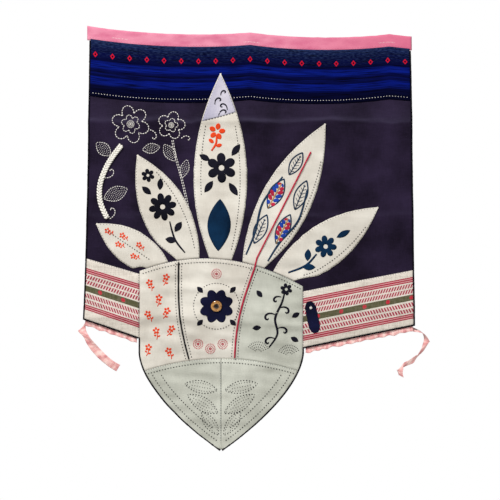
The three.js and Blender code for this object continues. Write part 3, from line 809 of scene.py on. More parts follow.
class Thread:
    """Many stitches in one thread, joined as one mesh. Each runs between two points of the view, with
    its middle proud of the cloth."""

    proud = 0.12

    def __init__(self, name, finish_name, *, layer=FRONT, width=1.1, lifts=False, back=False):
        self.name, self.finish_name, self.layer = name, finish_name, layer
        self.width, self.lifts, self.back = width, lifts, back
        self.bm = bmesh.new()

    def point(self, x, z):
        if self.back:
            return Vector((x * MM, -(folds(x, z) + 0.1) * MM, z * MM))
        return front(self.layer, x, z, self.proud, self.lifts)

    def stitch(self, a, b, width=None):
        a, b = self.point(*a), self.point(*b)
        way = b - a
        girth = (width or self.width) * MM
        turned = way.to_track_quat("X", "Y").to_matrix().to_4x4()
        shape = Matrix.Diagonal((way.length, girth, girth * 0.8, 1))
        matrix = Matrix.Translation((a + b) / 2) @ turned @ shape
        bmesh.ops.create_icosphere(self.bm, subdivisions=1, radius=0.5, matrix=matrix)

    def run(self, line, pitch=5.2, stitch=2.8, width=None):
        """Running stitches along a line, of slightly uneven length."""
        total = length_of(line)
        count = max(1, round(total / pitch))
        for i in range(count):
            middle = (i + 0.5) * total / count
            half = stitch / 2 * (1 + 0.25 * waver(middle, *line[0]))
            self.stitch(at_distance(line, middle - half), at_distance(line, middle + half), width)

    def cross(self, line, pitch, inner, outer, slant=0.8):
        """Short slanted stitches over a seam, an edge or a couched cord."""
        total = length_of(line)
        count = round(total / pitch)
        for i in range(1, count):
            x, z = at_distance(line, i * total / count)
            ahead = at_distance(line, i * total / count + 0.5)
            way = Vector((ahead[0] - x, ahead[1] - z)).normalized()
            a = (x - way.y * inner, z + way.x * inner)
            b = (x + way.y * outer + way.x * slant, z - way.x * outer + way.y * slant)
            self.stitch(a, b)

    def fill_leaf(self, foot, turn, length, half, spacing=3.1):
        """Seed stitches all over a leaf, at even spacing with small shifts."""
        for j in range(1, int(length / spacing)):
            share = j * spacing / length
            reach = (half - 1.2) * math.sin(math.pi * share) ** 0.85
            count = int(2 * reach / spacing)
            for i in range(count + 1):
                side = 0 if count == 0 else mix(-1, 1, i / count)
                x, z = polar(polar(foot, length * share, turn), side * reach, turn + 90)
                over, up, way = (waver(x / 5.3, z / 5.3, turn + start) for start in SEED_WAVERS)
                x, z = x + 0.7 * over, z + 0.7 * up
                slant = turn + 360 * way
                self.stitch(polar((x, z), -0.9, slant), polar((x, z), 0.9, slant))

    def roundel(self, centre, radius):
        """Rings of short stitches that point outwards. A ring is (near, far, number of stitches)."""
        for near, far, count in ((0.05, 0.32, 6), (0.44, 0.68, 12), (0.8, 1.05, 18)):
            for i in range(count):
                turn = 360 * i / count
                self.stitch(polar(centre, near * radius, turn), polar(centre, far * radius, turn))

    def fan(self, centre, radius, low, high):
        """Four arcs of short stitches that point outwards, between two turns in degrees."""
        for row in range(4):
            reach = radius * (0.34 + 0.22 * row)
            count = max(3, round(math.radians(high - low) * reach / 3.4))
            for i in range(count):
                turn = mix(low, high, (i + 0.5) / count)
                self.stitch(polar(centre, reach - 1.3, turn), polar(centre, reach + 1.3, turn))

    def done(self):
        add_piece(self.name, self.bm, self.finish_name)


class Print:
    """Flat motifs of one colour, a hair above the cloth that they are printed or sewn on."""

    def __init__(self, name, finish_name, *, lifts=False, proud=0.1):
        self.name, self.finish_name, self.lifts, self.proud = name, finish_name, lifts, proud
        self.bm = bmesh.new()

    def patch(self, cells, place):
        add_grid(self.bm, cells, lambda u, v: front(FRONT, *place(u, v), self.proud, self.lifts))

    def stroke(self, line, width, taper=0.4):
        """A painted line: full width in the middle, and thinner to its ends by taper."""
        count = len(line) - 1

        def place(u, v):
            i = round(v * count)
            way = direction(line, i)
            half = width / 2 * (1 - taper + taper * math.sin(math.pi * clamp(v, 0.04, 0.96)))
            side = (u - 0.5) * 2 * half
            return line[i][0] - way.y * side, line[i][1] + way.x * side

        self.patch((2, count), place)

    def leaf(self, foot, turn, length, half, point=0.85):
        rows = max(6, round(length / 4))
        self.patch((4, rows), lambda u, v: in_leaf(foot, turn, length, half, 2 * u - 1, v, point))

    def blossom(self, centre, radius, lobes, notch, turn=0.0, hole=0.0):
        """A flower of rounded lobes round a hole that shows the cloth."""
        line = lobed(centre, radius, lobes, notch, turn)

        def place(u, v):
            edge = line[round(u * (len(line) - 1))]
            share = mix(hole / math.dist(edge, centre), 1, v)
            return mix(centre[0], edge[0], share), mix(centre[1], edge[1], share)

        self.patch((len(line) - 1, 3), place)

    def sprig(self, centre, size, turn=0.0):
        """A small five-petalled flower on a stem with two leaves."""
        for i in range(5):
            way = turn + 72 * i
            self.leaf(polar(centre, 0.09 * size, way), way, 0.36 * size, 0.13 * size, 0.5)
        stem = curve([polar(centre, 0.14 * size, turn + 180), polar(centre, 0.6 * size, turn + 172),
                      polar(centre, 1.05 * size, turn + 184)], 6)
        self.stroke(stem, 0.11 * size, 0.2)
        for lean, reach in ((-62, 0.66), (64, 0.8)):
            foot = polar(centre, reach * size, turn + 178)
            self.leaf(polar(foot, 0.08 * size, turn + lean), turn + lean, 0.34 * size, 0.1 * size, 0.6)

    def done(self):
        bmesh.ops.remove_doubles(self.bm, verts=self.bm.verts, dist=1e-6)
        bmesh.ops.recalc_face_normals(self.bm, faces=self.bm.faces)
        thicken(add_piece(self.name, self.bm, self.finish_name), 0.25, 0)


# The panels.
def panel_place(left, right, bottom, top):
    """The point of the view at shares (u, v) between two sides and two level edges. A side moves with
    the height, so each round finds the point's height better."""

    def place(u, v):
        x = mix(left(0), right(0), u)
        for _ in range(4):
            height = mix(bottom(x), top(x), v)
            x = mix(left(height), right(height), u)
        return x, mix(bottom(x), top(x), v)

    return place


def sewn_left(z):
    return left_edge(z) + EDGE


def sewn_right(z):
    return right_edge(z) - EDGE


def heading():
    def ripple(x):
        return 0.9 * waver(x / 13, 2, 0)

    place = panel_place(
        lambda z: PINS[0][0],
        lambda z: PINS[-1][0],
        lambda x: band_top(x) - 3 + ripple(x),
        lambda x: heading_top(x) + 0.6 * ripple(x + 40),
    )
    cloth_panel("heading_tape_cloth", "tape", place, size=(584, 26.5), cells=(220, 10),
                replaces=["heading_tape"], layer=BACK + 0.2, puff=0.2)


def indigo_band():
    place = panel_place(sewn_left, sewn_right, band_bottom, band_top)
    cloth_panel("indigo_band_cloth", "indigo", place, size=(576, 100), cells=(190, 44),
                replaces=["indigo_band"], from_top=0)


def ground_bottom(x):
    left, right = HEM_LEFT[1][0], HEM_RIGHT[0][0]
    if x < left:
        return left_border_top(x) - UNDERLAP
    if x > right:
        return right_border_top(x) - UNDERLAP
    share = (x - left) / (right - left)
    return mix(left_border_top(left), right_border_top(right), share) - UNDERLAP


def ground():
    place = panel_place(sewn_left, sewn_right, ground_bottom, lambda x: band_bottom(x) + UNDERLAP)
    cloth_panel("ground_cotton", "ground", place, size=(580, 374), cells=(190, 130),
                replaces=["ground_cloth"], layer=BACK, puff=0, turned=False, area=0.92)


def borders():
    inner = CUP_HALF_WIDTH - EDGE + 0.1
    left = panel_place(
        sewn_left,
        lambda z: CUP_CENTRE - inner,
        lambda x: left_hem(x) + EDGE,
        left_border_top,
    )
    cloth_panel("woven_border_left", "stripe", left, size=(99, 111), cells=(40, 46),
                replaces=["border_left"], from_top=-2.6)
    right = panel_place(
        lambda z: CUP_CENTRE + inner,
        sewn_right,
        lambda x: right_hem(x) + EDGE,
        right_border_top,
    )
    cloth_panel("woven_border_right", "stripe", right, size=(199, 100), cells=(80, 42),
                replaces=["border_right"], from_top=2.6)


def gores():
    def outer(way):
        return lambda z: CUP_CENTRE + way * half_width_at(z, EDGE - 0.3)

    for node_name, finish_name, left, right, cells_across, size, area in (
        ("gore_left", "cream", outer(-1), left_seam, 40, (96, 170), 0.85),
        ("gore_middle", "cream", left_seam, right_seam, 60, (136, 182), 0.81),
        ("gore_right", "grey", right_seam, outer(1), 50, (118, 164), 0.94),
    ):
        place = panel_place(left, right, chevron, rim)
        cloth_panel(node_name + "_cloth", finish_name, place, size=size, cells=(cells_across, 80),
                    replaces=[node_name], area=area)


def pennant():
    lowest = TIP_Z + 2 * EDGE

    def reach(z):
        return max(half_width_at(z, EDGE - 0.3), 2)

    corner = CHEVRON[1]
    for _ in range(6):
        corner = chevron(CUP_CENTRE + reach(corner))
    for side, node_name in ((-1, "pennant_left"), (1, "pennant_right")):

        def place(u, v):
            out = 1 - u if side < 0 else u
            rise = v**0.85
            top = CUP_CENTRE + side * out * reach(corner)
            x = CUP_CENTRE + side * out * reach(mix(lowest, corner, rise))
            return x, mix(lowest, chevron(top), rise)

        cloth_panel(node_name + "_cloth", "grey", place, size=(136, 152), cells=(56, 62),
                    replaces=[node_name], area=0.67)


def petals():
    for name, petal in PETALS.items():

        def place(u, v):
            uneven = 0.8 * waver(v * petal["length"] / 11, petal["base"], 0)
            return on_petal(petal, u, v, 0.3 + uneven * math.sin(math.pi * v))

        size = (2 * petal["half"] + 8, petal["length"])
        cloth_panel(name + "_cotton", "cream", place, size=size, cells=(36, round(size[1] / 2.4)),
                    replaces=[name], lifts=True, area=0.78)


# Cords.
def tube(name, finish_name, line, radius, depth, *, flat=1.0, replaces=(), wave=0.0, lift=None):
    """A cord that lies on the folds along a line of the view, depth off the back of the cloth, or
    depth + lift(i) at its point i. Its UV map runs along it and round it."""
    count, sides = len(line) - 1, 10
    along = [length_of(line[: i + 1]) for i in range(count + 1)]

    def centre(i):
        x, z = line[clamp(i, 0, count)]
        return Vector((x, -(folds(x, z) + depth + (lift(i) if lift else 0)), z))

    def place(u, v):
        i = round(v * count)
        way = (centre(i + 1) - centre(i - 1)).normalized()
        side = way.cross(Vector((0, 1, 0))).normalized()
        out = side.cross(way).normalized()
        girth = radius * (1 + wave * waver(along[i] / 4, 0, 7))
        turn = 2 * math.pi * u
        return (centre(i) + side * girth * math.cos(turn) + out * girth * flat * math.sin(turn)) * MM

    bm = bmesh.new()
    add_grid(bm, (sides, count), place, lambda u, v: (along[round(v * count)], u * STRANDS))
    bmesh.ops.remove_doubles(bm, verts=bm.verts, dist=1e-7)
    bmesh.ops.holes_fill(bm, edges=[edge for edge in bm.edges if edge.is_boundary])
    bmesh.ops.recalc_face_normals(bm, faces=bm.faces)
    add_piece(name, bm, finish_name, replaces)


def piping():
    r = PIPING_RADIUS
    corner = 1.5 * r
    lines = {}
    for name, edge, x0, inward, low in (
        ("piping_left_side", left_edge, -HALF_WIDTH, 1, HEM_LEFT[0][1]),
        ("piping_right_side", right_edge, HALF_WIDTH, -1, HEM_RIGHT[1][1]),
    ):
        lines[name] = steps(band_top(x0) - 4, low, 170, lambda z: (edge(z) + inward * r, z))
    for name, hem, low, high in (
        ("piping_left_hem", left_hem, HEM_LEFT[0][0] + corner, HEM_LEFT[1][0] - 0.2),
        ("piping_right_hem", right_hem, HEM_RIGHT[0][0] + 0.2, HEM_RIGHT[1][0] - corner),
    ):
        lines[name] = steps(low, high, round((high - low) / 3), lambda x: (x, hem(x) + r))
    for name, way, top in (
        ("piping_pennant_left", -1, HEM_LEFT[1][1] + 2.5),
        ("piping_pennant_right", 1, HEM_RIGHT[0][1] + 2.5),
    ):

        def point(share):
            z = mix(top, TIP_Z + 2 * r, math.sin(math.pi / 2 * share))
            return CUP_CENTRE + way * max(half_width_at(z, r), 0.2 * r), z

        lines[name] = steps(0, 1, 80, point)
    for name, line in lines.items():
        tube(name + "_cord", "black", line, r, (PITCH + CLOTH) / 2, replaces=[name], wave=0.25)


def couched_cords():
    depth = FRONT * PITCH + CLOTH + 1.0
    line = seam_line(left_seam, 3)
    tube("black_couched_cord", "black", line, COUCHED_RADIUS, depth, replaces=["black_cord"], wave=0.15)
    vein = steps(0.05, 0.8, 70, lambda share: on_petal(PETALS["petal_4"], 0.5, share))
    line = seam_line(right_seam, 6) + vein

    tube("red_couched_cord", "red", line, COUCHED_RADIUS, depth, replaces=["red_cord"], wave=0.15,
         lift=lambda i: climb(*line[clamp(i, 0, len(line) - 1)]))
    ties = Thread("cord_ties", "thread_red", width=0.7, lifts=True)
    ties.cross(line, 8, 1.8, 1.8)
    ties.done()


PLAIT = 15


def braid():
    """A flat plait of three plump cords. Each strand crosses it and is back after PLAIT points of its
    line, which lie just under 1 mm apart."""
    line = curve(BRAID, 150)
    for strand in range(3):
        phase = 2 * math.pi * strand / 3

        def angle(i):
            return 2 * math.pi * i / PLAIT + phase

        path = beside(line, lambda i: 3.3 * math.sin(angle(i)))
        tube(f"braid_strand_{strand + 1}", "white", path, 1.8, CLOTH + 1.9, flat=0.75,
             replaces=["braid_stem"] if strand == 0 else [],
             lift=lambda i: 0.9 * math.sin(2 * angle(i)))


# The rosette, its button, and the tab.
def rosette():
    cx, cz = ROSETTE_AT
    lobes, radius, notch = 8, 31, 8

    def place(u, v):
        a, b = 2 * u - 1, 2 * v - 1
        x, z = a * math.sqrt(1 - b * b / 2), b * math.sqrt(1 - a * a / 2)
        lobe = abs(math.sin(lobes / 2 * math.atan2(z, x)))
        reach = radius - notch * (1 - lobe) * math.hypot(x, z) ** 2
        return cx + reach * x, cz + reach * z

    cloth_panel("rosette_cloth", "navy", place, size=(62, 62), cells=(40, 40), replaces=["rosette"],
                layer=TOP - 0.3, area=0.68)


# The button's profile: (radius, height), from the middle of its back round to that of its face.
BUTTON_PROFILE = (
    (0, 0), (8.6, 0), (9.6, 0.5), (10, 1.3), (9.8, 2.1), (9.0, 2.9), (7.4, 3.2), (6.2, 3.0),
    (5.4, 3.2), (4.2, 3.9), (2.2, 4.35), (0, 4.5),
)


def button():
    """The button, turned from its profile and tilted to lie on the folds."""
    cx, cz = ROSETTE_AT
    lean_x = (stand_off(cx + 8, cz) - stand_off(cx - 8, cz)) / 16
    lean_z = (stand_off(cx, cz + 8) - stand_off(cx, cz - 8)) / 16
    outward = Vector((-lean_x, -1, -lean_z)).normalized()
    bm = bmesh.new()
    rims = [bm.verts.new((radius * MM, 0, height * MM)) for radius, height in BUTTON_PROFILE]
    for pair in zip(rims, rims[1:]):
        bm.edges.new(pair)
    bmesh.ops.spin(bm, geom=bm.verts[:] + bm.edges[:], axis=(0, 0, 1), cent=(0, 0, 0), steps=40,
                   angle=2 * math.pi, use_merge=True)
    bmesh.ops.remove_doubles(bm, verts=bm.verts, dist=1e-6)
    bmesh.ops.recalc_face_normals(bm, faces=bm.faces)
    seat = BUTTON_MIDDLE - outward * BUTTON_PROFILE[-1][1] / 2 * MM
    matrix = Matrix.Translation(seat) @ outward.to_track_quat("Z", "Y").to_matrix().to_4x4()
    bmesh.ops.transform(bm, matrix=matrix, verts=bm.verts)
    add_piece("horn_button", bm, "horn", ["button"])


def tab():
    lean, half_width, half_height = math.radians(12), 11, 29

    def place(u, v):
        up = (v - 0.5) * 2
        shoulder = math.sqrt(max(0, 1 - abs(up) ** 5))
        half = half_width * max(0.3, shoulder * (1 - 0.1 * abs(math.cos(2.5 * math.pi * up))))
        out, rise = (u - 0.5) * 2 * half, up * half_height
        x = TAB_AT[0] + out * math.cos(lean) - rise * math.sin(lean)
        return x, TAB_AT[1] + out * math.sin(lean) + rise * math.cos(lean)

    cloth_panel("tab_right_cloth", "navy", place, size=(22, 58), cells=(16, 40), replaces=["tab_right"],
                layer=TOP - 0.3, area=0.88)
    thread = Thread("tab_star", "thread_white", layer=TOP, width=1.1)
    star = (TAB_AT[0] - 3, TAB_AT[1] + 17)
    for turn in range(0, 180, 36):
        thread.stitch(polar(star, -3.8, turn), polar(star, 3.8, turn))
    thread.done()


# Ribbons. A section is (x, z, heading, turn, off): its middle, which way it points in the view and
# how far it is turned edge-on, in degrees, and how far it stands off beyond the cloth.
LEFT_TAIL = (
    (-287, -521, 47, 3, -1.95),
    (-298, -526, 62, -8, -1.4),
    (-301, -536, 8, -6, 0.5),
    (-292, -548, -10, 20, 5),
    (-285, -559, 8, 6, 5),
    (-275, -572, 28, -16, 3),
    (-262, -585, 42, 8, 4),
    (-248, -596, 50, 14, 6),
    (-236, -603, 58, 10, 7),
)
RIGHT_TAIL = (
    (284, -531, -53, -3, -1.95),
    (298, -535, -50, 50, -1),
    (309, -540, -40, 76, 4),
    (315, -552, -8, 56, 7),
    (312, -562, 34, 12, 8),
    (302, -579, 38, -8, 5),
    (293, -587, 78, 20, 7),
    (281, -594, 62, 24, 4),
    (270, -600, 50, -4, 3),
    (268, -608, -10, 52, 5),
    (270, -617, -24, 56, 7),
)
RIBBON_WIDTH = 14
TAIL_LENGTH = 105


def ribbon_tail(bm, sections):
    middles, crosses = [], []
    for x, z, heading_turn, edge_turn, off in sections:
        way, roll = math.radians(heading_turn), math.radians(edge_turn)
        middles.append(Vector((x, -(stand_off(x, z) + off), z)))
        flat = math.cos(roll)
        crosses.append(Vector((math.cos(way) * flat, -math.sin(roll), math.sin(way) * flat)))

    def place(u, v):
        here = between(middles, v) + between(crosses, v).normalized() * ((u - 0.5) * RIBBON_WIDTH)
        here.y -= 0.6 * math.cos(math.pi * (u - 0.5)) * math.sin(9 * v)
        here.y -= 0.6 * waver(u * 2.4, v * 22, 4)
        return here * MM

    add_grid(bm, (10, (len(sections) - 1) * 10), place,
             lambda u, v: (u * RIBBON_WIDTH, v * TAIL_LENGTH))


def ribbon(node_name, hem, low, high, sections):
    """A gathered trim sewn behind a hem, and the tail that hangs from its end."""

    def trim(u, v):
        x = mix(low, high, u)
        wave = math.sin(2 * math.pi * (x - low) / 19 + 3 * waver(x / 40, 3, low))
        ruck = math.sin(2 * math.pi * (x + 6 * v) / 8.3 + 2.2 * wave)
        uneven = 2.2 * waver(x / 14, 9, low)
        z = mix(hem(x) - 8.6 - 0.8 * wave - uneven, hem(x) + 5.5, v)
        bulge = math.sin(math.pi / 2 * (1 - v)) ** 2
        off = folds(x, z) - 1.4 + bulge * (2.6 + 0.7 * wave + 0.7 * ruck)
        return Vector((x * MM, -off * MM, z * MM))

    bm = bmesh.new()
    cells = (round(abs(high - low) / 2), 10)
    add_grid(bm, cells, trim, lambda u, v: (v * RIBBON_WIDTH, u * abs(high - low)))
    ribbon_tail(bm, sections)
    piece = add_piece(node_name + "_satin", bm, "ribbon", [node_name])
    thicken(piece, 0.35, 0)
    length = abs(high - low) + length_of([section[:2] for section in sections])


def ribbons():
    ribbon("ribbon_left", left_hem, HEM_LEFT[0][0] + 4, HEM_LEFT[1][0] - 3, LEFT_TAIL)
    ribbon("ribbon_right", right_hem, HEM_RIGHT[0][0] + 3, HEM_RIGHT[1][0] - 4, RIGHT_TAIL)


# Plain sewing.
def along_x(low, high, height):
    return steps(low, high, round((high - low) / 6), lambda x: (x, height(x)))


def seams():
    """Stitches that join the panels and hold their turned edges."""
    whip = Thread("petal_whip_stitches", "thread_black", width=1.3, lifts=True)
    for petal in PETALS.values():
        for side, inner, outer in ((0, -2.2, 1.0), (1, 2.2, -1.0)):
            edge = steps(0.01, 0.985, 60, lambda share: on_petal(petal, side, share, 0.2))
            whip.cross(edge, 5.4, inner, outer, 0)
    whip.done()

    rose = Thread("heading_seam_stitches", "thread_rose", layer=BACK, width=0.8)
    rose.run(along_x(-290, 290, lambda x: band_top(x) + 2.2))
    rose.done()
    tacking = Thread("heading_tacking", "thread_white", layer=BACK, width=0.9)
    for x0, drop in ((-235, 15.5), (2, 17), (245, 14.5)):
        tacking.cross(along_x(x0 - 16, x0 + 16, lambda x: heading_top(x) - drop), 2.6, 1.4, 1.4, 1.4)
    tacking.done()

    white = Thread("band_running_stitch", "thread_white", width=1.3)
    white.run(along_x(-284, 284, lambda x: band_bottom(x) + 6.2), pitch=5.2, stitch=2.2)
    white.done()

    over = Thread("seam_overcasting", "thread_grey", width=0.8)
    edges = (
        along_x(-190, 87, chevron),
        along_x(-196, 93, rim),
        along_x(-290, -202, left_border_top),
        along_x(100, 286, right_border_top),
        [(CUP_CENTRE, -590), (CUP_CENTRE, -735)],
        [(-199, -432), (-199, -548)],
        [(95, -566), (95, -462)],
    )
    for edge in edges:
        over.cross(edge, 4.4, 0.6, 1.8)
    over.done()


# Running stitches on the petals: (petal, share across it, first and last share along it).
PETAL_RUNS = (
    ("petal_1", 0.5, 0.12, 0.86),
    ("petal_2", 0.85, 0.08, 0.8),
    ("petal_3", 0.87, 0.05, 0.72),
    ("petal_3", 0.13, 0.34, 0.72),
    ("petal_4", 0.92, 0.1, 0.78),
    ("petal_5", 0.87, 0.1, 0.82),
)
# Shares along the tallest petal where its net starts, at its left and its right.
NET_FROM = (0.74, 0.79)
# Leaves of stitches: (foot, degrees from upright, length, half width).
PENNANT_LEAVES = (
    ((-56, -722), -36, 52, 10),
    ((-47, -722), 36, 52, 10),
    ((-57, -683), -59, 64, 12),
    ((-46, -683), 59, 64, 12),
    ((-58, -642), -79, 60, 11),
    ((-45, -642), 79, 60, 11),
)


def running_stitches():
    dark = Thread("petal_running_stitch", "thread_black", width=1.9, lifts=True)
    for name, across, low, high in PETAL_RUNS:
        dark.run(steps(low, high, 30, lambda share: spot(name, across, share)))
    dark.run(steps(0.08, 0.92, 10, lambda u: spot("petal_3", u, mix(*NET_FROM, u))))
    dark.done()

    dark = Thread("black_running_stitch", "thread_black", width=1.9)
    dark.run(ring(ROSETTE_AT, 41, 60))
    for seam in (left_seam, right_seam):
        for reach in (-5.5, 5.5):
            dark.run(beside(seam_line(seam, 3), reach))
    for inset in (12, 26):
        for way in (-1, 1):

            def point(share):
                z = mix(-614, TIP_Z + inset * 1.62, math.sin(math.pi / 2 * share))
                return CUP_CENTRE + way * max(half_width_at(z, inset), 0), z

            dark.run(steps(0, 1, 40, point))
    dark.run(along_x(-184, 80, lambda x: chevron(x) - 7))
    dark.run(along_x(-194, 92, lambda x: rim(x) - 7))
    for foot, turn, length, half in PENNANT_LEAVES:
        dark.run(leaf_line(foot, turn, length, half))
    dark.done()
    seeds = Thread("seed_stitch_fans", "thread_black", width=1.5)
    for foot, turn, length, half in PENNANT_LEAVES:
        seeds.fill_leaf(foot, turn, length, half - 3, 4.6)
    for centre, radius, low, high in (((70, -582), 20, -70, 62), ((14, -576), 20, -60, 70)):
        seeds.fan(centre, radius, low, high)
    seeds.done()


# White outline embroidery on the ground: two flowers (centre, radius, lobes, turn), curling
# tendrils (start, turn, length, turns wound), and leaves filled with seed stitches.
GROUND_FLOWERS = (((-214, -166), 34, 6, 17), ((-141, -168), 25, 5, 50))
GROUND_TENDRILS = (
    ((-180, -176), 100, 54, 0.9),
    ((-262, -262), 100, 62, -0.95),
    ((-252, -336), 66, 58, -0.9),
    ((-124, -192), 40, 46, 0.9),
)
SEEDED_LEAVES = (
    ((-262, -300), 66, 46, 13),
    ((-250, -222), -48, 34, 11),
    ((-134, -232), -34, 36, 10),
    ((-122, -262), 16, 34, 8),
    ((-193, -212), 80, 32, 9),
)
GROUND_STEM = ((-139, -194), (-134, -222), (-124, -258), (-115, -296), (-109, -326))


def ground_embroidery():
    thread = Thread("white_outline_embroidery", "thread_white", layer=BACK, width=1.9)
    for centre, radius, lobes, turn in GROUND_FLOWERS:
        thread.run(lobed(centre, radius, lobes, 0.42, turn), pitch=4.6, stitch=4.3)
        thread.run(lobed(centre, radius * 0.5, lobes, 0.4, turn), pitch=4.2, stitch=3.9, width=1.6)
        thread.roundel(centre, radius * 0.2)
    for at, turn, length, winds in GROUND_TENDRILS:
        thread.run(curl(at, turn, length, winds), pitch=4.6, stitch=4.3)
    for leaf in SEEDED_LEAVES:
        thread.run(leaf_line(*leaf), pitch=4.2, stitch=3.4, width=1.3)
    for reach in (-1.3, 1.3):
        thread.run(beside(curve(GROUND_STEM, 40), reach), pitch=4.8, stitch=4.4, width=1.6)
    thread.done()
    seeds = Thread("white_seed_stitches", "thread_white", layer=BACK, width=1.2)
    for leaf in SEEDED_LEAVES:
        seeds.fill_leaf(*leaf)
    seeds.done()


def petal_prints():
    black = Print("black_sewn_flowers", "print_black", lifts=True)
    black.blossom(spot("petal_2", 0.5, 0.5), 25, 8, 0.42, 11, hole=4.5)
    black.blossom(spot("petal_2", 0.52, 0.8), 12, 6, 0.45, 20, hole=2.6)
    stem = [spot("petal_2", 0.5, 0.06), spot("petal_2", 0.42, 0.2), spot("petal_2", 0.5, 0.36)]
    black.stroke(curve(stem, 16), 3.6)
    black.blossom(spot("petal_3", 0.52, 0.49), 27, 6, 0.5, 28, hole=5)
    # A leaf is (petal, across, along, degrees from upright, length, half width).
    for name, across, along, turn, length, half in (
        ("petal_2", 0.44, 0.18, -80, 21, 6),
        ("petal_2", 0.5, 0.26, 34, 22, 6),
        ("petal_2", 0.38, 0.64, -50, 22, 5.5),
        ("petal_2", 0.62, 0.64, 4, 22, 5.5),
        ("petal_3", 0.72, 0.555, 36, 26, 6),
        ("petal_3", 0.3, 0.53, -62, 22, 5.5),
        ("petal_3", 0.66, 0.41, 146, 28, 6),
        ("petal_3", 0.36, 0.42, 216, 26, 6),
    ):
        black.leaf(spot(name, across, along), turn, length, half)
    # A curl is (petal, across, along, degrees from upright, length, turns wound).
    for name, across, along, turn, length, winds in (
        ("petal_3", 0.3, 0.83, -10, 40, 0.9),
        ("petal_3", 0.72, 0.8, 4, 44, -1),
        ("petal_3", 0.45, 0.77, 8, 40, 0.8),
        ("petal_3", 0.52, 0.88, -6, 30, 0.9),
    ):
        black.stroke(curl(spot(name, across, along), turn, length, winds), 3.0, 0.5)
    black.done()

    teal = Print("teal_patches", "print_teal", lifts=True, proud=0.14)
    teal.leaf(spot("petal_3", 0.42, 0.04), 2, 94, 21)
    teal.blossom(spot("petal_5", 0.52, 0.44), 20, 7, 0.45, 17, hole=4)
    stem = [spot("petal_5", 0.5, 0.05), spot("petal_5", 0.62, 0.2), spot("petal_5", 0.54, 0.34)]
    teal.stroke(curve(stem, 16), 4.0, 0.3)
    for across, along, turn, length, half in (
        (0.6, 0.17, 92, 24, 6),
        (0.55, 0.24, 4, 22, 6),
        (0.5, 0.56, 62, 28, 5.5),
    ):
        teal.leaf(spot("petal_5", across, along), turn, length, half)
    teal.done()

    orange = Print("orange_sprigs", "print_orange", lifts=True)
    for across, along, turn in (
        (0.32, 0.34, -70),
        (0.68, 0.36, -42),
        (0.66, 0.62, -50),
        (0.34, 0.6, -66),
        (0.52, 0.82, -58),
    ):
        orange.sprig(spot("petal_1", across, along), 13, turn)
    orange.sprig(spot("petal_3", 0.42, 0.685), 34, 12)
    orange.done()
    painted_leaves()


# Outlined leaves on the fourth petal: (across it, along it, degrees from upright, length, half
# width, and whether blotches of colour fill it or veins).
PAINTED_LEAVES = (
    (0.25, 0.13, 24, 56, 11, False),
    (0.24, 0.36, 29, 60, 12.5, True),
    (0.3, 0.61, 31, 46, 10, False),
    (0.76, 0.18, 26, 58, 11.5, True),
    (0.74, 0.43, 22, 56, 11, False),
)


def painted_leaves():
    blue = Print("slate_blue_vine", "print_blue", lifts=True)
    red = Print("crimson_leaf_blotches", "print_red", lifts=True, proud=0.16)
    royal = Print("royal_leaf_blotches", "print_royal", lifts=True, proud=0.16)
    tan = Print("tan_leaf_ribs", "print_tan", lifts=True, proud=0.2)
    for side in (0.1, 0.9):
        feet = [(side, 0.05), (mix(side, 0.5, 0.2), 0.2), (side, 0.38), (mix(side, 0.5, 0.25), 0.58)]
        blue.stroke(curve([spot("petal_4", *foot) for foot in feet], 40), 4.0, 0.3)
    for across, along, turn, length, half, blotched in PAINTED_LEAVES:
        foot = spot("petal_4", across, along)
        blue.stroke(leaf_line(foot, turn, length, half), 2.6, 0.15)
        rib = steps(0, 0.86 * length, 4, lambda reach: polar(foot, reach, turn))
        (tan if blotched else blue).stroke(rib, 2.2)
        for i in range(1, 7):
            start_at = polar(foot, length * i / 7.6, turn)
            reach = 0.84 * half * math.sin(math.pi * min(0.97, i / 7.6 + 0.1))
            for sign in (-1, 1):
                lean = turn + 48 * sign
                if blotched:
                    colour = red if (i // 2 + (sign > 0)) % 2 else royal
                    colour.leaf(polar(start_at, 1.6, turn + 90 * sign), lean, 1.25 * reach, 3.4, 0.6)
                else:
                    blue.stroke([start_at, polar(start_at, reach, lean)], 1.9, 0.5)
    for piece in (blue, red, royal, tan):
        piece.done()


def net_tip():
    """A thin printed net at the tallest petal's tip, sewn down with black stitches."""
    net = Print("lilac_net_tip", "print_lilac", lifts=True, proud=0.05)
    petal = PETALS["petal_3"]
    net.patch((14, 24), lambda u, v: on_petal(petal, u, mix(mix(*NET_FROM, u), 0.985, v), -1.2))
    net.done()


# Sprigs on the left gore: (x, z, degrees from upright).
CUP_SPRIGS = (
    (-180, -450, -20),
    (-150, -440, 14),
    (-163, -477, 6),
    (-183, -506, -30),
    (-148, -500, 24),
    (-168, -536, -8),
    (-140, -532, 30),
    (-182, -566, 10),
    (-146, -572, -24),
)
# Scrolls on the right gore: (x, z, degrees from upright, length, turns wound).
CUP_SCROLLS = (
    (44, -550, -64, 48, -0.9),
    (50, -532, 62, 46, 0.9),
    (46, -508, -56, 54, -0.9),
    (52, -496, 60, 50, 0.9),
    (56, -476, -66, 40, -0.9),
)
CUP_STEM = ((34, -566), (49, -542), (45, -514), (57, -486), (62, -468))


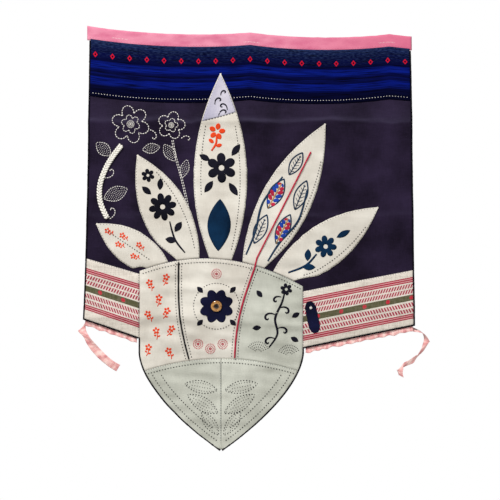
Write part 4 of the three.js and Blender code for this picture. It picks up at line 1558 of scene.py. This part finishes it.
def cup_decoration():
    orange = Print("cup_sprigs", "print_orange")
    for x, z, turn in CUP_SPRIGS:
        orange.sprig((x, z), 15, turn)
    orange.done()
    black = Print("cup_scrolls", "print_black")
    black.stroke(curve(CUP_STEM, 40), 4.2)
    for x, z, turn, length, winds in CUP_SCROLLS:
        black.stroke(curl((x, z), turn, length, winds), 3.8, 0.6)
    for x, z, turn in ((22, -476, -40), (73, -548, 118), (75, -512, 60), (20, -530, -96)):
        black.leaf((x, z), turn, 16, 4.6)
    black.blossom((65, -462), 11, 6, 0.45, 20, hole=2.6)
    for turn in (45, 135, 225, 315):
        black.leaf(polar(ROSETTE_AT, 34, turn), turn, 15, 4.4)
    black.done()
    crimson = Thread("crimson_roundels", "thread_red", width=2.1)
    for centre in ((-93, -560), (-71, -568), (-49, -560), (-60, -434)):
        crimson.roundel(centre, 9)
    crimson.done()


def back_stitches():
    """The reverse of the sewing, which shows on the back of the ground."""
    dark = Thread("petal_stitches_on_the_back", "thread_grey", width=0.8, back=True)
    for petal in PETALS.values():
        for side in (0.04, 0.96):
            dark.run(steps(0.02, 0.97, 40, lambda share: on_petal(petal, side, share)), stitch=1.6)
    dark.done()
    white = Thread("white_stitches_on_the_back", "thread_white", width=0.8, back=True)
    for centre, radius, lobes, turn in GROUND_FLOWERS:
        white.run(lobed(centre, radius, lobes, 0.42, turn), pitch=3.3, stitch=1.4)
    white.run(curve(BRAID, 60), pitch=5, stitch=3)
    white.run(along_x(-284, 284, lambda x: band_bottom(x) + 6.2), pitch=3.9, stitch=1.6)
    white.done()


# The studio. A light is (name, place in metres, size in metres, watts). The backdrop lights the cloth
# at AMBIENT, and the camera and the floor are at these distances in millimetres.
LIGHTS = (
    ("key", (-0.9, -1.5, 1.75), 0.7, 80),
    ("fill", (1.6, -2.2, 0.1), 1.6, 8),
)
AMBIENT = 0.2
CAMERA_Z = -391.5
CAMERA_AWAY = 2500
FLOOR_AT = (0, -1700, -1000)
FLOOR_HALF = 2000


def studio():
    camera_data = bpy.data.cameras.new("camera")
    camera_data.lens = 100
    camera_data.sensor_width = 36
    camera = bpy.data.objects.new("camera", camera_data)
    camera.location = (0, -CAMERA_AWAY * MM, CAMERA_Z * MM)
    camera.rotation_euler = (math.pi / 2, 0, 0)
    bpy.context.scene.collection.objects.link(camera)
    bpy.context.scene.camera = camera

    bm = bmesh.new()
    bmesh.ops.create_grid(bm, x_segments=1, y_segments=1, size=FLOOR_HALF * MM)
    bmesh.ops.translate(bm, verts=bm.verts, vec=Vector(FLOOR_AT) * MM)
    mesh = bpy.data.meshes.new("studio_floor")
    bm.to_mesh(mesh)
    bm.free()
    mesh.materials.append(floor_finish())
    floor = bpy.data.objects.new("studio_floor", mesh)
    bpy.context.scene.collection.objects.link(floor)

    # The backdrop is white to the camera, but lights the cloth less, so that its folds show.
    world = bpy.data.worlds.new("studio")
    bpy.context.scene.world = world
    world.use_nodes = True
    tree = world.node_tree
    tree.nodes.clear()
    seen = node(tree, "LightPath", out="Is Camera Ray")
    strength = node(tree, "Math", seen, 1 - AMBIENT, AMBIENT, operation="MULTIPLY_ADD")
    node(tree, "OutputWorld", node(tree, "Background", (1, 1, 1, 1), strength))
    for name, place, size, power in LIGHTS:
        light_data = bpy.data.lights.new(name, "AREA")
        light_data.size = size
        light_data.energy = power
        light = bpy.data.objects.new(name, light_data)
        light.location = place
        aim = Vector((0, 0, CAMERA_Z * MM)) - Vector(place)
        light.rotation_euler = aim.to_track_quat("-Z", "Y").to_euler()
        bpy.context.scene.collection.objects.link(light)
    bpy.context.scene.view_settings.view_transform = "Standard"


heading()
indigo_band()
ground()
borders()
gores()
pennant()
petals()
piping()
couched_cords()
braid()
rosette()
button()
tab()
ribbons()
seams()
ground_embroidery()
net_tip()
petal_prints()
running_stitches()
cup_decoration()
back_stitches()
studio()
